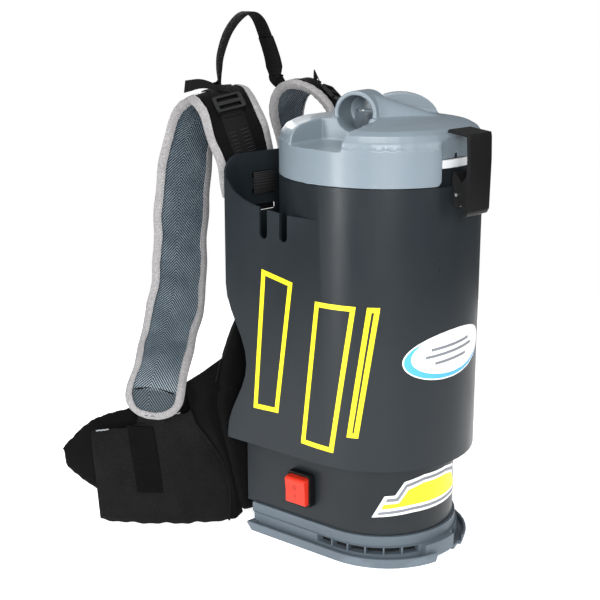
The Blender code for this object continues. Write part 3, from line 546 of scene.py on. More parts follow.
def hard_parts():
    refine("body_shell", "shell", 0.0007)
    soften("lid", "grey", 0.0012, 5, 0.35)
    refine("base_foot", "base", 0.0007)
    refine("latch", "black", 0.0011)
    refine("latch_bracket", "black", 0.0008)
    refine("switch_bezel", "black", 0.0007)
    refine("switch_rocker", "red", 0.0014)
    refine("filter_flange", "white", 0.0006)
    refine("cord_gland", "rubber", 0.0006)
    rocker_marks()
    # nodes that keep their CAD mesh, by finish
    finishes = {
        "black": ["switch_body", "motor_support"],
        "rubber": ["lid_seal", "motor_seal"] + ["foot_pad_%d" % n for n in range(1, 5)],
        "steel": ["latch_pin", "armature_shaft", "bearing_lower", "bearing_upper"]
                 + ["motor_screw_%d" % n for n in range(1, 4)],
        "alloy": ["motor_frame", "fan_shroud", "diffuser_plate", "impeller"],
        "laminated": ["field_core"],
        "copper": ["armature_core", "commutator"],
        "carbon": ["carbon_brush_left", "carbon_brush_right"],
        "filter": ["filter_sleeve"],
        "paper": ["dust_bag"],
        "foam": ["exhaust_filter"],
    }
    for mat, nodes in finishes.items():
        for node in nodes:
            mesh = NODES[node].data
            mesh.materials.clear()
            mesh.materials.append(M[mat])


# ---------------------------------------------------------------- decals
INK = 0.0003                     # thickness of the ink on the cowl
OVER_INK = 0.0005                # the same for ink printed over other ink
DECAL_SEAT = 0.00002
DECAL_STEP = 0.0034              # longest straight run of a decal round the cowl


def cowl_point(wall, s, z, lift, side=-1):
    """A point on a cowl's face: s runs along the face, from the start of the round front
    toward the back when positive, and round the front when negative."""
    plate, front = wall
    sin_f, cos_f = math.sin(FLARE), math.cos(FLARE)
    centre = (plate - front) / (1.0 - sin_f)
    radius = centre + front
    if s >= 0:
        x = -radius * cos_f - s * sin_f - lift * cos_f
        y = centre - radius * sin_f + s * cos_f - lift * sin_f
    else:
        turn = -s / radius
        half = ARC_STEP / 2
        facet = radius * math.cos(half) / math.cos((turn % ARC_STEP) - half)
        a = math.pi + FLARE + turn
        x = (facet + lift) * math.cos(a)
        y = centre + (facet + lift) * math.sin(a)
    return Vector((-side * x, y, z))


def ordered(bm):
    """The same solid with its faces listed in a fixed order, so that every run gives the same mesh."""
    bm.verts.index_update()
    faces = []
    for face in bm.faces:
        corners = [v.index for v in face.verts]
        first = corners.index(min(corners))
        faces.append(corners[first:] + corners[:first])
    made = bmesh.new()
    verts = [made.verts.new(v.co) for v in bm.verts]
    for corners in sorted(faces):
        made.faces.new([verts[i] for i in corners])
    bm.free()
    return made


def decal(name, polygons, wall, mat, lift, side=-1):
    """Thin printed shapes, given as (s, z) outlines in millimetres, laid on a cowl."""
    parts = []
    for outline in polygons:
        bm = bmesh.new()
        verts = [bm.verts.new((s / 1000, z / 1000, 0)) for s, z in outline]
        bm.faces.new(verts)
        low = min(v.co.x for v in verts)
        high = max(v.co.x for v in verts)
        for i in range(1, int((high - low) / DECAL_STEP) + 1):
            bmesh.ops.bisect_plane(bm, geom=bm.verts[:] + bm.edges[:] + bm.faces[:], dist=1e-7,
                                   plane_co=(low + i * DECAL_STEP, 0, 0), plane_no=(1, 0, 0))
        bmesh.ops.recalc_face_normals(bm, faces=bm.faces)
        ground = [(v, v.co.copy()) for v in bm.verts]
        grown = bmesh.ops.extrude_face_region(bm, geom=bm.faces[:])
        lifted = [g for g in grown["geom"] if isinstance(g, bmesh.types.BMVert)]
        for v in lifted:
            v.co = cowl_point(wall, v.co.x, v.co.y, lift, side)
        for v, place in ground:
            v.co = cowl_point(wall, place.x, place.y, DECAL_SEAT, side)
        bmesh.ops.recalc_face_normals(bm, faces=bm.faces)
        parts.append(ordered(bm))
    add_piece(name, merged(parts), mat, "machine", 50.0)


def outlined(points, stroke):
    """Quads that trace a closed outline with a stroke of even width inside it."""
    area = sum(a[0] * b[1] - b[0] * a[1] for a, b in zip(points, points[1:] + points[:1]))
    sign = 1 if area > 0 else -1
    inner = []
    count = len(points)
    for i, point in enumerate(points):
        before = Vector(points[i - 1])
        here = Vector(point)
        after = Vector(points[(i + 1) % count])
        a = (here - before).normalized()
        b = (after - here).normalized()
        na = Vector((-a.y, a.x)) * sign
        nb = Vector((-b.y, b.x)) * sign
        bisect = (na + nb).normalized()
        inner.append(tuple(here + bisect * stroke / max(0.3, bisect.dot(na))))
    return [[points[i - 1], points[i], inner[i], inner[i - 1]] for i in list(range(1, count)) + [0]]


def ellipse(centre, half_width, half_height, tilt, steps=48):
    points = []
    for i in range(steps):
        a = 2 * math.pi * i / steps
        x, y = half_width * math.cos(a), half_height * math.sin(a)
        points.append((centre[0] + x * math.cos(tilt) - y * math.sin(tilt),
                       centre[1] + x * math.sin(tilt) + y * math.cos(tilt)))
    return points


def mirrored(outline, middle):
    """An outline given from its rear end to the middle, closed by its mirror image."""
    return outline + [(2 * middle - s, z) for s, z in reversed(outline)]


def side_graphics():
    """Three outlined slanted bars on each side of the tank."""
    stroke = 6.3
    shapes = [[(90, 380), (40, 370), (64, 192), (106, 190)],
              [(4, 352), (-52, 352), (-24, 158), (26, 160)],
              [(-66, 352), (-82, 352), (-57, 182), (-42, 182)]]
    for side, name in SIDES:
        quads = []
        for shape in shapes:
            quads += outlined(shape, stroke)
        decal("side_graphic_" + name, quads, TANK, "yellow", INK, side)


def oval_badge():
    """An oval on the tank's front, with a crescent along its lower left and three bars."""
    front_reach = 1000 * TANK[1]
    x, z = oval = (-(math.pi / 2 - FLARE) * front_reach + 4, 285)
    tilt = math.radians(-4)
    decal("oval_badge", [ellipse(oval, 73, 31, tilt)], TANK, "ink_white", INK)
    steps, start, stop = 72, 44, 80
    outer = ellipse(oval, 71, 29.2, tilt, steps)
    hollow = ellipse((x - 6.0, z + 3.6), 68, 27.5, tilt, steps)
    moon = []
    for k in range(start, stop):
        a, b = k % steps, (k + 1) % steps
        moon.append([outer[a], outer[b], hollow[b], hollow[a]])
    decal("oval_crescent", moon, TANK, "ink_blue", OVER_INK)
    bars = []
    thick, slope = 1.8, 0.14
    for half, rise in ((34, 9), (42, 0), (28, -9)):
        level = z + rise
        bars.append([(x + half, level - thick), (x - half, level - thick + half * slope),
                     (x - half, level + thick + half * slope), (x + half, level + thick)])
    decal("oval_bars", bars, TANK, "ink_grey", OVER_INK)


def housing_stripes():
    """A band of stripes round the front of the motor housing."""
    front = -(math.pi / 2 - FLARE) * (HOUSING_R * 1000)
    base = [(-104, 69), (-50, 64.5), (-66, 94), (-80, 95), (-92, 112.5), (-120, 118.5)]
    decal("stripe_base", [mirrored(base, front)], HOUSING, "ink_white", INK)
    low_line = [(-57, 68), (-104, 72.5)], [(-59, 72), (-104, 76.5)]
    high_line = ([(-69.5, 90.5), (-82, 91.5), (-94, 109), (-120, 115)],
                 [(-67.5, 86), (-84, 87), (-96, 105), (-120, 111)])
    for number, (upper, under) in enumerate((low_line, high_line)):
        upper = mirrored(upper, front)
        under = mirrored(under, front)
        quads = [[upper[k], upper[k + 1], under[k + 1], under[k]] for k in range(len(upper) - 1)]
        decal("stripe_grey_%d" % number, quads, HOUSING, "ink_grey", OVER_INK)
    stripe = [(-104, 80), (-62, 76), (-65, 82.5), (-85, 84), (-98, 101.5), (-120, 107.5)]
    decal("stripe_yellow", [mirrored(stripe, front)], HOUSING, "yellow", OVER_INK)


# ---------------------------------------------------------------- straps
class Strap:
    """The centre line and frame of one shoulder strap: (x across, s along, h toward the wearer)."""

    def __init__(self, side):
        self.side = side
        knots = [Vector((side * x, y, z)) for x, y, z in STRAP_ROUTE]
        self.path = smooth_path(knots, 12)
        angles = smooth_path([Vector((math.radians(turn), math.radians(droop), 0))
                              for turn, droop in zip(STRAP_TURNS, STRAP_DROOPS)], 12)
        self.across = [Vector((math.cos(a.x), side * math.sin(a.x), -side * math.sin(a.y)))
                       for a in angles]
        self.at = [0.0]
        for a, b in zip(self.path, self.path[1:]):
            self.at.append(self.at[-1] + (b - a).length)
        self.length = self.at[-1]

    def spot(self, x, s, h):
        """The point x across, s along and h toward the wearer."""
        s = min(max(s, 0.0), self.length)
        low, high = 0, len(self.at) - 1
        while high - low > 1:
            i = (low + high) // 2
            if self.at[i] <= s:
                low = i
            else:
                high = i
        k = (s - self.at[low]) / max(1e-9, self.at[high] - self.at[low])
        point = self.path[low].lerp(self.path[high], k)
        ahead = self.path[min(high + 1, len(self.path) - 1)]
        behind = self.path[max(low - 1, 0)]
        along = (ahead - behind).normalized()
        across = self.across[low].lerp(self.across[high], k)
        across = (across - along * across.dot(along)).normalized()
        normal = along.cross(across).normalized()
        return point + across * x + normal * h

    def half(self, s):
        """Half width: a little more over the shoulder, round at the tongue."""
        flare = 1.0 + 0.08 * min(1.0, max(0.0, (0.2585 - s) / 0.09))
        left = self.length - s
        reach = 0.034
        wave = 0.0008 * math.sin(s * 95.0) + 0.0006 * math.sin(s * 41.0 + 1.0)
        if left >= reach:
            return STRAP_WIDTH / 2 * flare + wave
        k = 1.0 - left / reach
        return (STRAP_WIDTH / 2 + wave) * max(0.0, 1.0 - k ** 2.6) ** 0.5


FACE_STOP = 0.0045               # how far a face ends before the tongue's tip
FACE_INSET = 0.0042              # and inside the strap's edge, under the tape
FACE_EDGE = 0.0036               # height of a face at its edge
TONGUE_FLAT = 0.032              # length of the flatter end
INNER_SHEET = 0.0002             # height of the sheet that closes a face inside the pad


def strap_surface(strap, sign, mat, name):
    """One puffed face of the strap, closed by a flat sheet inside the pad."""
    crown = STRAP_THICK / 2
    columns, rows = 17, 150
    bm = bmesh.new()
    uvs = []
    grids = []
    for layer in (0, 1):
        grid = []
        for r in range(rows + 1):
            s = (strap.length - FACE_STOP) * r / rows
            half = max(0.001, strap.half(s) - FACE_INSET)
            line = []
            for c in range(columns + 1):
                u = -1.0 + 2.0 * c / columns
                puff = 1.0 - abs(u) ** 3.0
                seam = 1.0 - 0.35 * math.exp(-((abs(u) - 0.74) / 0.06) ** 2)
                ripple = 1.0 + 0.05 * noise.noise(Vector((u * 2.0, s * 40.0, sign)))
                h = FACE_EDGE + (crown - FACE_EDGE) * puff * seam * ripple
                if s > strap.length - TONGUE_FLAT:
                    h *= 0.80
                if layer:
                    h = INNER_SHEET
                line.append(bm.verts.new(strap.spot(u * half, s, sign * h)))
                uvs.append((u * half, s))
            grid.append(line)
        grids.append(grid)
    for grid in grids:
        for r in range(rows):
            for c in range(columns):
                bm.faces.new((grid[r][c], grid[r][c + 1], grid[r + 1][c + 1], grid[r + 1][c]))
    top, low = grids
    rim = [(0, c) for c in range(columns)] + [(r, columns) for r in range(rows)]
    rim += [(rows, c) for c in range(columns, 0, -1)] + [(r, 0) for r in range(rows, 0, -1)]
    for (r0, c0), (r1, c1) in zip(rim, rim[1:] + rim[:1]):
        bm.faces.new((top[r0][c0], top[r1][c1], low[r1][c1], low[r0][c0]))
    bm.verts.index_update()
    bmesh.ops.recalc_face_normals(bm, faces=bm.faces)
    return add_piece(name, bm, mat, "machine", 60.0, uvs)


def strap_binding(strap, name):
    """Folded tape round the strap's edge: down one side, round the tongue, up the other."""
    dense = []
    steps = 170
    for sign, order in ((-1, range(steps + 1)), (1, range(steps, -1, -1))):
        for r in order:
            s = strap.length * r / steps
            dense.append(Vector((sign * strap.half(min(s, strap.length - 0.0003)), s)))
    # even spacing keeps the tongue's turn smooth
    lengths = [0.0]
    for a, b in zip(dense, dense[1:]):
        lengths.append(lengths[-1] + (b - a).length)
    count = int(lengths[-1] / 0.0030)
    even = []
    k = 0
    for i in range(count + 1):
        want = lengths[-1] * i / count
        while k < len(lengths) - 2 and lengths[k + 1] < want:
            k += 1
        span = max(1e-9, lengths[k + 1] - lengths[k])
        even.append(dense[k].lerp(dense[k + 1], (want - lengths[k]) / span))
    # the tape's section: depth inward from the edge, height, and place across the cloth
    section = ((0.0098, 0.0056, 0.0), (0.0094, 0.0066, 0.1), (0.0060, 0.0056, 0.25),
               (0.0018, 0.0040, 0.4), (-0.0006, 0.0, 0.5), (0.0018, -0.0040, 0.6),
               (0.0060, -0.0056, 0.75), (0.0094, -0.0066, 0.9), (0.0098, -0.0056, 1.0),
               (0.0060, -0.0040, 0.8), (0.0030, -0.0020, 0.6), (0.0030, 0.0020, 0.4),
               (0.0060, 0.0040, 0.2))
    rows, uvs = [], []
    for i, here in enumerate(even):
        ahead = even[min(i + 1, count)]
        behind = even[max(i - 1, 0)]
        along = (ahead - behind).normalized()
        inward = Vector((-along.y, along.x))
        if inward.dot(Vector((0.0, strap.length / 2)) - here) < 0:
            inward = -inward
        v = lengths[-1] * i / count
        pucker = (1.0 + 0.05 * math.sin(v * 640.0)
                  + 0.12 * noise.noise(Vector((v * 75.0, 0.0, strap.side))))
        row = []
        for depth, height, u in section:
            d = depth * (1.0 + 0.12 * noise.noise(Vector((v * 55.0, height * 90, 3.0))))
            place = here + inward * d
            row.append(strap.spot(place.x, place.y, height * pucker))
            uvs.append((u, v))
        rows.append(row)
    add_piece(name, skin(rows), "tape", "machine", 55.0, uvs)


def ribbon(strap, name, width, start, end, height):
    """A strip of webbing lying along the middle of the strap's outer face."""
    thick = 0.0012
    section = ((-1, 0), (-0.9, 1), (0, 1), (0.9, 1), (1, 0), (0.9, -0.2), (0, -0.2), (-0.9, -0.2))
    rows, uvs = [], []
    steps = max(4, int((end - start) / 0.003))
    for i in range(steps + 1):
        s = start + (end - start) * i / steps
        rows.append([strap.spot(u * width / 2, s, -(height + h * thick)) for u, h in section])
        uvs += [(u * width / 2, s) for u, h in section]
    return add_piece(name, skin(rows), "web", "machine", 50.0, uvs)


def stitches(spots, size, name, mat):
    """Short raised stitches, each from one point to another."""
    parts = [tube([a, (a + b) / 2, b], size, 5) for a, b in spots]
    add_piece(name, merged(parts), mat, "machine", 60.0)


def strap_stitching(strap, name):
    """Bar tacks over the webbing, and a stitched line along both edges, inside the tape."""
    rows = []
    for i in range(10):
        s = 0.040 + i * 0.0046
        for x0, x1 in ((-0.0125, -0.0035), (0.0020, 0.0135)):
            rows.append((strap.spot(x0, s, -0.0081), strap.spot(x1, s, -0.0081)))
    stitches(rows, 0.00055, "bar_tacks_" + name, "rung")
    lines = []
    s = 0.02
    while s < strap.length - 0.04:
        for x in (-0.0262, 0.0262):
            lines.append((strap.spot(x, s, -0.0068), strap.spot(x, s + 0.0028, -0.0068)))
        s += 0.0046
    stitches(lines, 0.0004, "edge_stitching_" + name, "thread")


def tongue_fold(strap, name):
    """The raised fold across the lining near the tongue."""
    steps = 12
    fold = []
    for i in range(steps + 1):
        sag = 0.004 * math.sin(math.pi * i / steps)
        fold.append(strap.spot(-0.026 + 0.052 * i / steps, strap.length - 0.036 - sag, 0.0052))
    add_piece("tongue_fold_" + name, tube(fold, 0.0014), "cloth", "machine")


def web_end(strap, name):
    """The loose end of webbing beside the buckle."""
    side = strap.side
    root = strap.spot(0.002 * side, 0.146, -0.0115)
    out = Vector((side * 0.74, 0.66, -0.04))
    across = Vector((-side * 0.35, 0.25, 0.90)).normalized()
    rows, uvs = [], []
    steps = 8
    for i in range(steps + 1):
        t = i / steps
        mid = root + out * 0.040 * t + Vector((0, 0, 0.007 * math.sin(math.pi * t * 0.8)))
        wide = across * (0.0035 + 0.0050 * t)
        mid += out * 0.010 * t * (0.5 if t == 1.0 else 0.0)
        flat = out.cross(wide).normalized() * 0.0007
        rows.append(flat_section(mid, wide, flat))
        uvs += flat_places(0.01, t * 0.036)
    add_piece("web_end_" + name, skin(rows), "web", "machine", 40.0, uvs)


def straps():
    for side, name in SIDES:
        strap = Strap(side)
        lining = strap_surface(strap, 1, "mesh", "strap_lining_" + name)
        face = strap_surface(strap, -1, "cloth", "strap_face_" + name)
        strap_binding(strap, "strap_binding_" + name)
        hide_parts("shoulder_strap_" + name)
        web = ribbon(strap, "strap_web_" + name, 0.032, 0.012, 0.150, 0.0068)
        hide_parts("anchor_web_" + name)
        ribbon(strap, "strap_web_tail_" + name, 0.027, 0.100, 0.172, 0.0082)
        strap_stitching(strap, name)
        tongue_fold(strap, name)
        refine("strap_buckle_" + name, "buckle", 0.0009)
        web_end(strap, name)


# ---------------------------------------------------------------- handle
def handle():
    """Webbing loop, twisted so that one leg shows its edge and the other its face."""
    path = smooth_path([HANDLE_BASE + Vector((x, 0.0, z)) for x, z in HANDLE_KNOTS], 10)
    count = len(path) - 1
    section = ((-1, -0.5), (-0.92, -1), (0, -1.12), (0.92, -1), (1, -0.5),
               (1, 0.5), (0.92, 1), (0, 1.12), (-0.92, 1), (-1, 0.5))
    for name, first, last, extra in (("handle_web", 0.0, 1.0, 0.0), ("handle_sleeve", 0.70, 0.975, 0.0012)):
        rows, uvs = [], []
        length = 0.0
        picked = [i for i in range(count + 1) if first <= i / count <= last]
        for n, i in enumerate(picked):
            point = path[i]
            if n:
                length += (point - path[picked[n - 1]]).length
            t = i / count
            turn = math.radians(HANDLE_TURNS[0] + (HANDLE_TURNS[1] - HANDLE_TURNS[0]) * t)
            along = (path[min(i + 1, count)] - path[max(i - 1, 0)]).normalized()
            across = Vector((math.cos(turn), math.sin(turn), 0.0))
            across = (across - along * across.dot(along)).normalized()
            normal = along.cross(across)
            half = 0.0115 + extra * 0.6
            half *= 0.62 + 0.38 * min(1.0, min(t, 1.0 - t) / 0.10)
            thick = 0.0013 + extra
            rows.append([point + across * half * u + normal * thick * h for u, h in section])
            uvs += [(half * u, length) for u, h in section]
        piece = add_piece(name, skin(rows), "web", "handle", 50.0, uvs)
        if name == "handle_web":
            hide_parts("carry_handle")


def handle_roots():
    """Webbing that leads from the strap tops up to the two ends of the loop."""
    for side, name in SIDES:
        strap = Strap(side)
        x, z = HANDLE_KNOTS[0] if side < 0 else HANDLE_KNOTS[-1]
        top = HANDLE_BASE + Vector((x, 0.0, z + 0.006))
        turn = math.radians(HANDLE_TURNS[0] if side < 0 else HANDLE_TURNS[1])
        guide = [top, top - Vector((0.0, 0.0, 0.0065)), strap.spot(-side * 0.020, 0.174, -0.0100),
                 strap.spot(-side * 0.012, 0.156, -0.0092), strap.spot(-side * 0.006, 0.136, -0.0092)]
        path = smooth_path(guide, 6)
        upper = Vector((math.cos(turn), math.sin(turn), 0.0))
        rows, uvs = [], []
        length = 0.0
        for i, point in enumerate(path):
            k = i / (len(path) - 1)
            along = (path[min(i + 1, len(path) - 1)] - path[max(i - 1, 0)]).normalized()
            across = upper.lerp(Vector((1.0, 0.0, 0.0)) * (1 if side < 0 else -1), min(1.0, 1.6 * k))
            across = (across - along * across.dot(along)).normalized()
            flat = along.cross(across) * 0.0011
            half = 0.0072 + 0.0040 * min(1.0, 2.0 * k)
            length += (point - path[i - 1]).length if i else 0.0
            rows.append(flat_section(point, across * half, flat))
            uvs += flat_places(half, length)
        add_piece("handle_root_" + name, skin(rows), "web", "machine", 40.0, uvs)


# ---------------------------------------------------------------- belt
class Belt:
    """The belt's upright band: (t along the route, z, h outward from its middle)."""

    def __init__(self, side):
        self.side = side
        self.low = smooth_path([Vector((side * x, y, 0.0)) for x, y in BELT_LOW], 3)
        self.high = smooth_path([Vector((side * x, y, 0.0)) for x, y in BELT_HIGH], 3)

    def line(self, path, t, h):
        i = min(int(max(t, 0.0)), len(path) - 2)
        k = t - i
        point = path[i].lerp(path[i + 1], k)
        ahead = path[min(i + 2, len(path) - 1)]
        behind = path[max(i - 1, 0)]
        run = ahead - behind
        normal = Vector((run.y, -run.x, 0.0)).normalized() * self.side
        return point + normal * h

    def spot(self, t, z, h, z0, z1):
        """The point at height z, between the low route at z0 and the high one at z1."""
        k = (z - z0) / (z1 - z0)
        point = self.line(self.low, t, h).lerp(self.line(self.high, t, h), k)
        return Vector((point.x, point.y, z))


FLAP_END = 11                    # stations along the belt's route at which the cover,
PAD_END = 15                     # and the inner pad, end
ROUND_FROM = 0.66                # part of the pad's length at which its rounding starts
PAD_OUT = -0.0120                # the pad's place, outward from the belt's middle
PAD_HALF = 0.0045
PAD_TRIM = 0.004
FLAP_OUT = 0.0095                # the cover's place, outward from the belt's middle


def flap_dent(t, u, side):
    """How far the flap's face stands out of true, by the place along it and up it."""
    return 0.0022 * noise.noise(Vector((t * 0.64, u * 3.2, side * 2.0)))


def flap_range(t):
    """The cover's lowest and highest z."""
    k = t / FLAP_END
    return 0.003 + 0.001 * k, 0.180 - 0.042 * k


def pad_range(t):
    """The inner pad's lowest and highest z, which close in toward its rounded end."""
    k = t / PAD_END
    z0, z1 = 0.012 + 0.012 * k, 0.215 - 0.065 * k
    middle = (z0 + z1) / 2
    grow = 1.0 - 0.7 * max(0.0, (k - ROUND_FROM) / (1.0001 - ROUND_FROM)) ** 2
    return middle + (z0 - middle) * grow, middle + (z1 - middle) * grow


def pillow(obj, cap, pressure, voxel, pinned=None):
    """Inflates a pad by cloth simulation, by at most cap, and keeps it as a plain mesh."""
    mod = obj.modifiers.new("remesh", "REMESH")
    mod.mode = "VOXEL"
    mod.voxel_size = voxel
    apply_modifiers(obj)
    inflate(obj, cap, pressure, pinned)
    mod = obj.modifiers.new("relax", "SMOOTH")
    mod.factor = 0.5
    mod.iterations = 9
    mod = obj.modifiers.new("finer", "SUBSURF")
    mod.levels = 1
    mod.render_levels = 1
    apply_modifiers(obj)
    obj.data.shade_smooth()


def inflate(obj, cap, pressure, pinned):
    stiffness, last_frame = 12.0, 20
    scene = bpy.context.scene
    rest = [v.co.copy() for v in obj.data.vertices]
    if pinned is not None:
        group = obj.vertex_groups.new(name="held")
        group.add([i for i, co in enumerate(rest) if pinned(co)], 1.0, "REPLACE")
    cloth = obj.modifiers.new("cloth", "CLOTH")
    cloth.settings.quality = 4
    cloth.settings.mass = 0.3
    cloth.settings.tension_stiffness = stiffness
    cloth.settings.compression_stiffness = stiffness
    cloth.settings.bending_stiffness = 0.4
    cloth.settings.use_pressure = True
    cloth.settings.uniform_pressure_force = pressure
    cloth.settings.effector_weights.gravity = 0.0
    if pinned is not None:
        cloth.settings.vertex_group_mass = "held"
    cloth.point_cache.frame_start = 1
    cloth.point_cache.frame_end = last_frame
    for number in range(1, last_frame + 1):
        scene.frame_set(number)
    graph = bpy.context.evaluated_depsgraph_get()
    ends = [v.co.copy() for v in obj.evaluated_get(graph).data.vertices]
    obj.modifiers.clear()
    scene.frame_set(1)
    for v, start, end in zip(obj.data.vertices, rest, ends):
        shift = end - start
        if shift.length > cap:
            shift = shift.normalized() * cap
        v.co = start + shift
    obj.vertex_groups.clear()


def seam_spot(belt, z, h):
    """The seam where the belt's cover is sewn to the back cushion."""
    u = min(1.0, max(0.0, z / 0.177))
    shift = 0.021 * max(0.0, math.sin(math.pi * min(1.0, u * 1.12)))
    return belt.spot(0.0, z, h, 0.003, 0.180) + Vector((-belt.side * shift, -0.12 * shift, 0.0))


def gusset(belt, name, body):
    """Fabric between the back cushion's side and the belt."""
    side = belt.side
    rows = []
    for i in range(31):
        q = i / 30
        z_out = 0.0050 + 0.2070 * q
        ease = min(1.0, max(0.0, (z_out - 0.165) / 0.045))
        outer = seam_spot(belt, z_out, 0.0065 - 0.0135 * ease * ease * (3 - 2 * ease))
        z_in = 0.011 + 0.235 * q
        inner = Vector((side * (back_half(z_in) - 0.010), 0.150, z_in))
        run = outer - inner
        out = Vector((side * abs(run.y) + side * 0.3 * abs(run.x), -abs(run.x), 0.0)).normalized()
        row = []
        for face in (1, -1):
            order = range(0, 11) if face == 1 else range(10, -1, -1)
            for n in order:
                k = n / 10
                puff = math.sin(math.pi * k)
                dent = 0.0030 * noise.noise(Vector((k * 2.2, q * 6.0, side * 4.0))) * puff
                thick = 0.0026 * (0.55 + 0.45 * puff)
                row.append(inner.lerp(outer, k) + out * (0.0050 * puff + dent + face * thick))
        rows.append(row)
    piece = add_piece("belt_gusset_" + name, skin(rows), "cloth", None, 60.0)
    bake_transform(piece)
    line = [seam_spot(belt, 0.0045 + 0.1735 * i / 30, 0.0105) for i in range(31)]
    add_piece("belt_piping_" + name, tube(line, 0.0022, 8), "thread", body)


def belt_wing(belt, name, body):
    """Inner pad: a padded lobe with a rounded end."""
    rows = []
    columns = 8
    for i in range(2 * PAD_END + 1):
        t = i / 2
        full0, full1 = pad_range(t)
        z0, z1 = full0 + PAD_TRIM, full1 - PAD_TRIM
        row = []
        for h, order in ((PAD_OUT - PAD_HALF, range(columns + 1)),
                         (PAD_OUT + PAD_HALF, range(columns, -1, -1))):
            for k in order:
                z = z0 + (z1 - z0) * k / columns
                row.append(belt.spot(t, z, h, z0 - PAD_TRIM, z1 + PAD_TRIM))
        rows.append(row)
    pad = add_piece("belt_wing_" + name, skin(rows), "cloth", None)
    pillow(pad, 0.006, 4.0, 0.005)
    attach(pad, body)
    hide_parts("belt_pad_" + name)


def hem_groove(u, place):
    return math.exp(-((u - place) / 0.012) ** 2)


def belt_cover(belt, name, body):
    """Outer flap: a doubled sheet with a hem and slightly wavy edges."""
    rows = []
    stops, columns = 44, 22
    for i in range(stops + 1):
        t = float(FLAP_END) * i / stops
        z0, z1 = flap_range(t)
        z0w = z0 + 0.0016 + 0.0016 * math.sin(i * 0.9) * math.sin(i * 0.31 + 1.0)
        z1w = z1 - 0.0012 + 0.0012 * math.sin(i * 0.7 + 2.0)
        root = max(0.0, 1.0 - t / 2.5) ** 2
        row = []
        for face, order in ((1, range(columns + 1)), (-1, range(columns, -1, -1))):
            for n in order:
                u = n / columns
                z = z0w + (z1w - z0w) * u
                rim = min(1.0, min(u, 1 - u) / 0.045, (i + 0.35) / 1.6, (stops - i + 0.35) / 1.6)
                thick = 0.0034 * (0.35 + 0.65 * math.sqrt(max(0.0, rim)))
                groove = 0.0006 * (hem_groove(u, 0.085) + hem_groove(u, 0.915))
                h = FLAP_OUT + flap_dent(t, u, belt.side) + face * (thick - groove)
                row.append(belt.spot(t, z, h, z0, z1).lerp(seam_spot(belt, z, h), root))
        rows.append(row)
    flap = add_piece("belt_cover_" + name, skin(rows), "flap", body, 60.0)
    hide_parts("belt_flap_" + name)


def hook_tape(belt, name, body):
    """Hook tape that runs down the cover, a little aslant."""
    section = ((-1.05, 0.0120), (-1.0, 0.0142), (-0.5, 0.0148), (0.5, 0.0148), (1.0, 0.0142),
               (1.05, 0.0120))
    rows = []
    steps = 24
    for i in range(steps + 1):
        u = i / steps
        centre = 5.9 + 0.45 * u
        z0, z1 = flap_range(centre)
        z = z1 - 0.003 - 0.098 * u
        half = 1.35 - 0.25 * u
        row = []
        for k, h in section:
            t = centre + k * half
            row.append(belt.spot(t, z, h + flap_dent(t, (z - z0) / (z1 - z0), belt.side), z0, z1))
        rows.append(row)
    add_piece("hook_tape_" + name, skin(rows), "hook", body, 50.0)


def flap_edging(belt, name, body):
    """Frayed pale edging along the cover's top."""
    steps = 14
    for part, t0, t1 in (("rear", 1.2, 4.6), ("front", 9.2, 10.6)):
        line = []
        for i in range(steps + 1):
            t = t0 + (t1 - t0) * i / steps
            z0, z1 = flap_range(t)
            line.append(belt.spot(t, z1 - 0.0004, 0.0086 + 0.0010 * math.sin(i * 1.7), z0, z1))
        add_piece("flap_edging_%s_%s" % (part, name), tube(line, 0.0010, 6), "pale", body)


def strap_tab(belt, name):
    """Webbing from the strap's tongue into the belt."""
    strap = Strap(belt.side)
    root = strap.spot(0.0, strap.length - 0.012, -0.001)
    foot = belt.spot(6.0, 0.115, -0.001, 0.003, 0.150)
    foot.z = 0.128
    run = foot - root
    half = 0.019
    wide = Vector((belt.side * 0.62, 0.78, 0.0)).normalized() * half
    flat = run.cross(wide).normalized() * 0.0009
    rows, uvs = [], []
    steps = 8
    for i in range(steps + 1):
        t = i / steps
        rows.append(flat_section(root.lerp(foot, t), wide, flat))
        uvs += flat_places(half, t * 0.05)
    tab = add_piece("strap_tab_" + name, skin(rows), "web", None, 40.0, uvs)
    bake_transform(tab)


def belts():
    for side, name in SIDES:
        belt = Belt(side)
        body = "belt_" + name
        belt_wing(belt, name, body)
        belt_cover(belt, name, body)
        gusset(belt, name, body)
        hook_tape(belt, name, body)
        flap_edging(belt, name, body)
        strap_tab(belt, name)


# ---------------------------------------------------------------- back pads
BACK_NEAR = BACK_Y + 0.0045      # the cushions' face against the back panel
BACK_LEVELS = ((0.008, 0.120), (0.025, 0.124), (0.090, 0.138), (0.150, 0.156), (0.180, 0.162),
               (0.215, 0.158), (0.245, 0.149), (0.280, 0.132), (0.310, 0.115), (0.345, 0.094))


def back_half(z):
    """Half the back cushion's width at a height."""
    for (za, ha), (zb, hb) in zip(BACK_LEVELS, BACK_LEVELS[1:]):
        if za <= z <= zb:
            return ha + (hb - ha) * (z - za) / (zb - za)
    return BACK_LEVELS[0][1] if z < BACK_LEVELS[0][0] else BACK_LEVELS[-1][1]


def back_cushion():
    depth, levels, columns = 0.033, 24, 12
    low, high = 0.012, 0.341
    rows = []
    for i in range(levels + 1):
        z = low + (high - low) * i / levels
        half = back_half(z) - 0.003
        far = BACK_NEAR + depth * (0.7 if i in (0, levels) else 1.0)
        row = [Vector((-half + 2 * half * k / columns, BACK_NEAR, z)) for k in range(columns + 1)]
        for k in range(columns, -1, -1):
            u = -1 + 2 * k / columns
            row.append(Vector((half * u * 0.985, far - 0.004 * u * u, z)))
        rows.append(row)
    pad = add_piece("back_cushion", skin(rows), "cloth", None)
    pillow(pad, 0.007, 4.0, 0.006, pinned=lambda co: co.y < BACK_NEAR + 0.003)
    for v in pad.data.vertices:
        sew(v)
    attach(pad, "machine")
    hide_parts("back_pad")


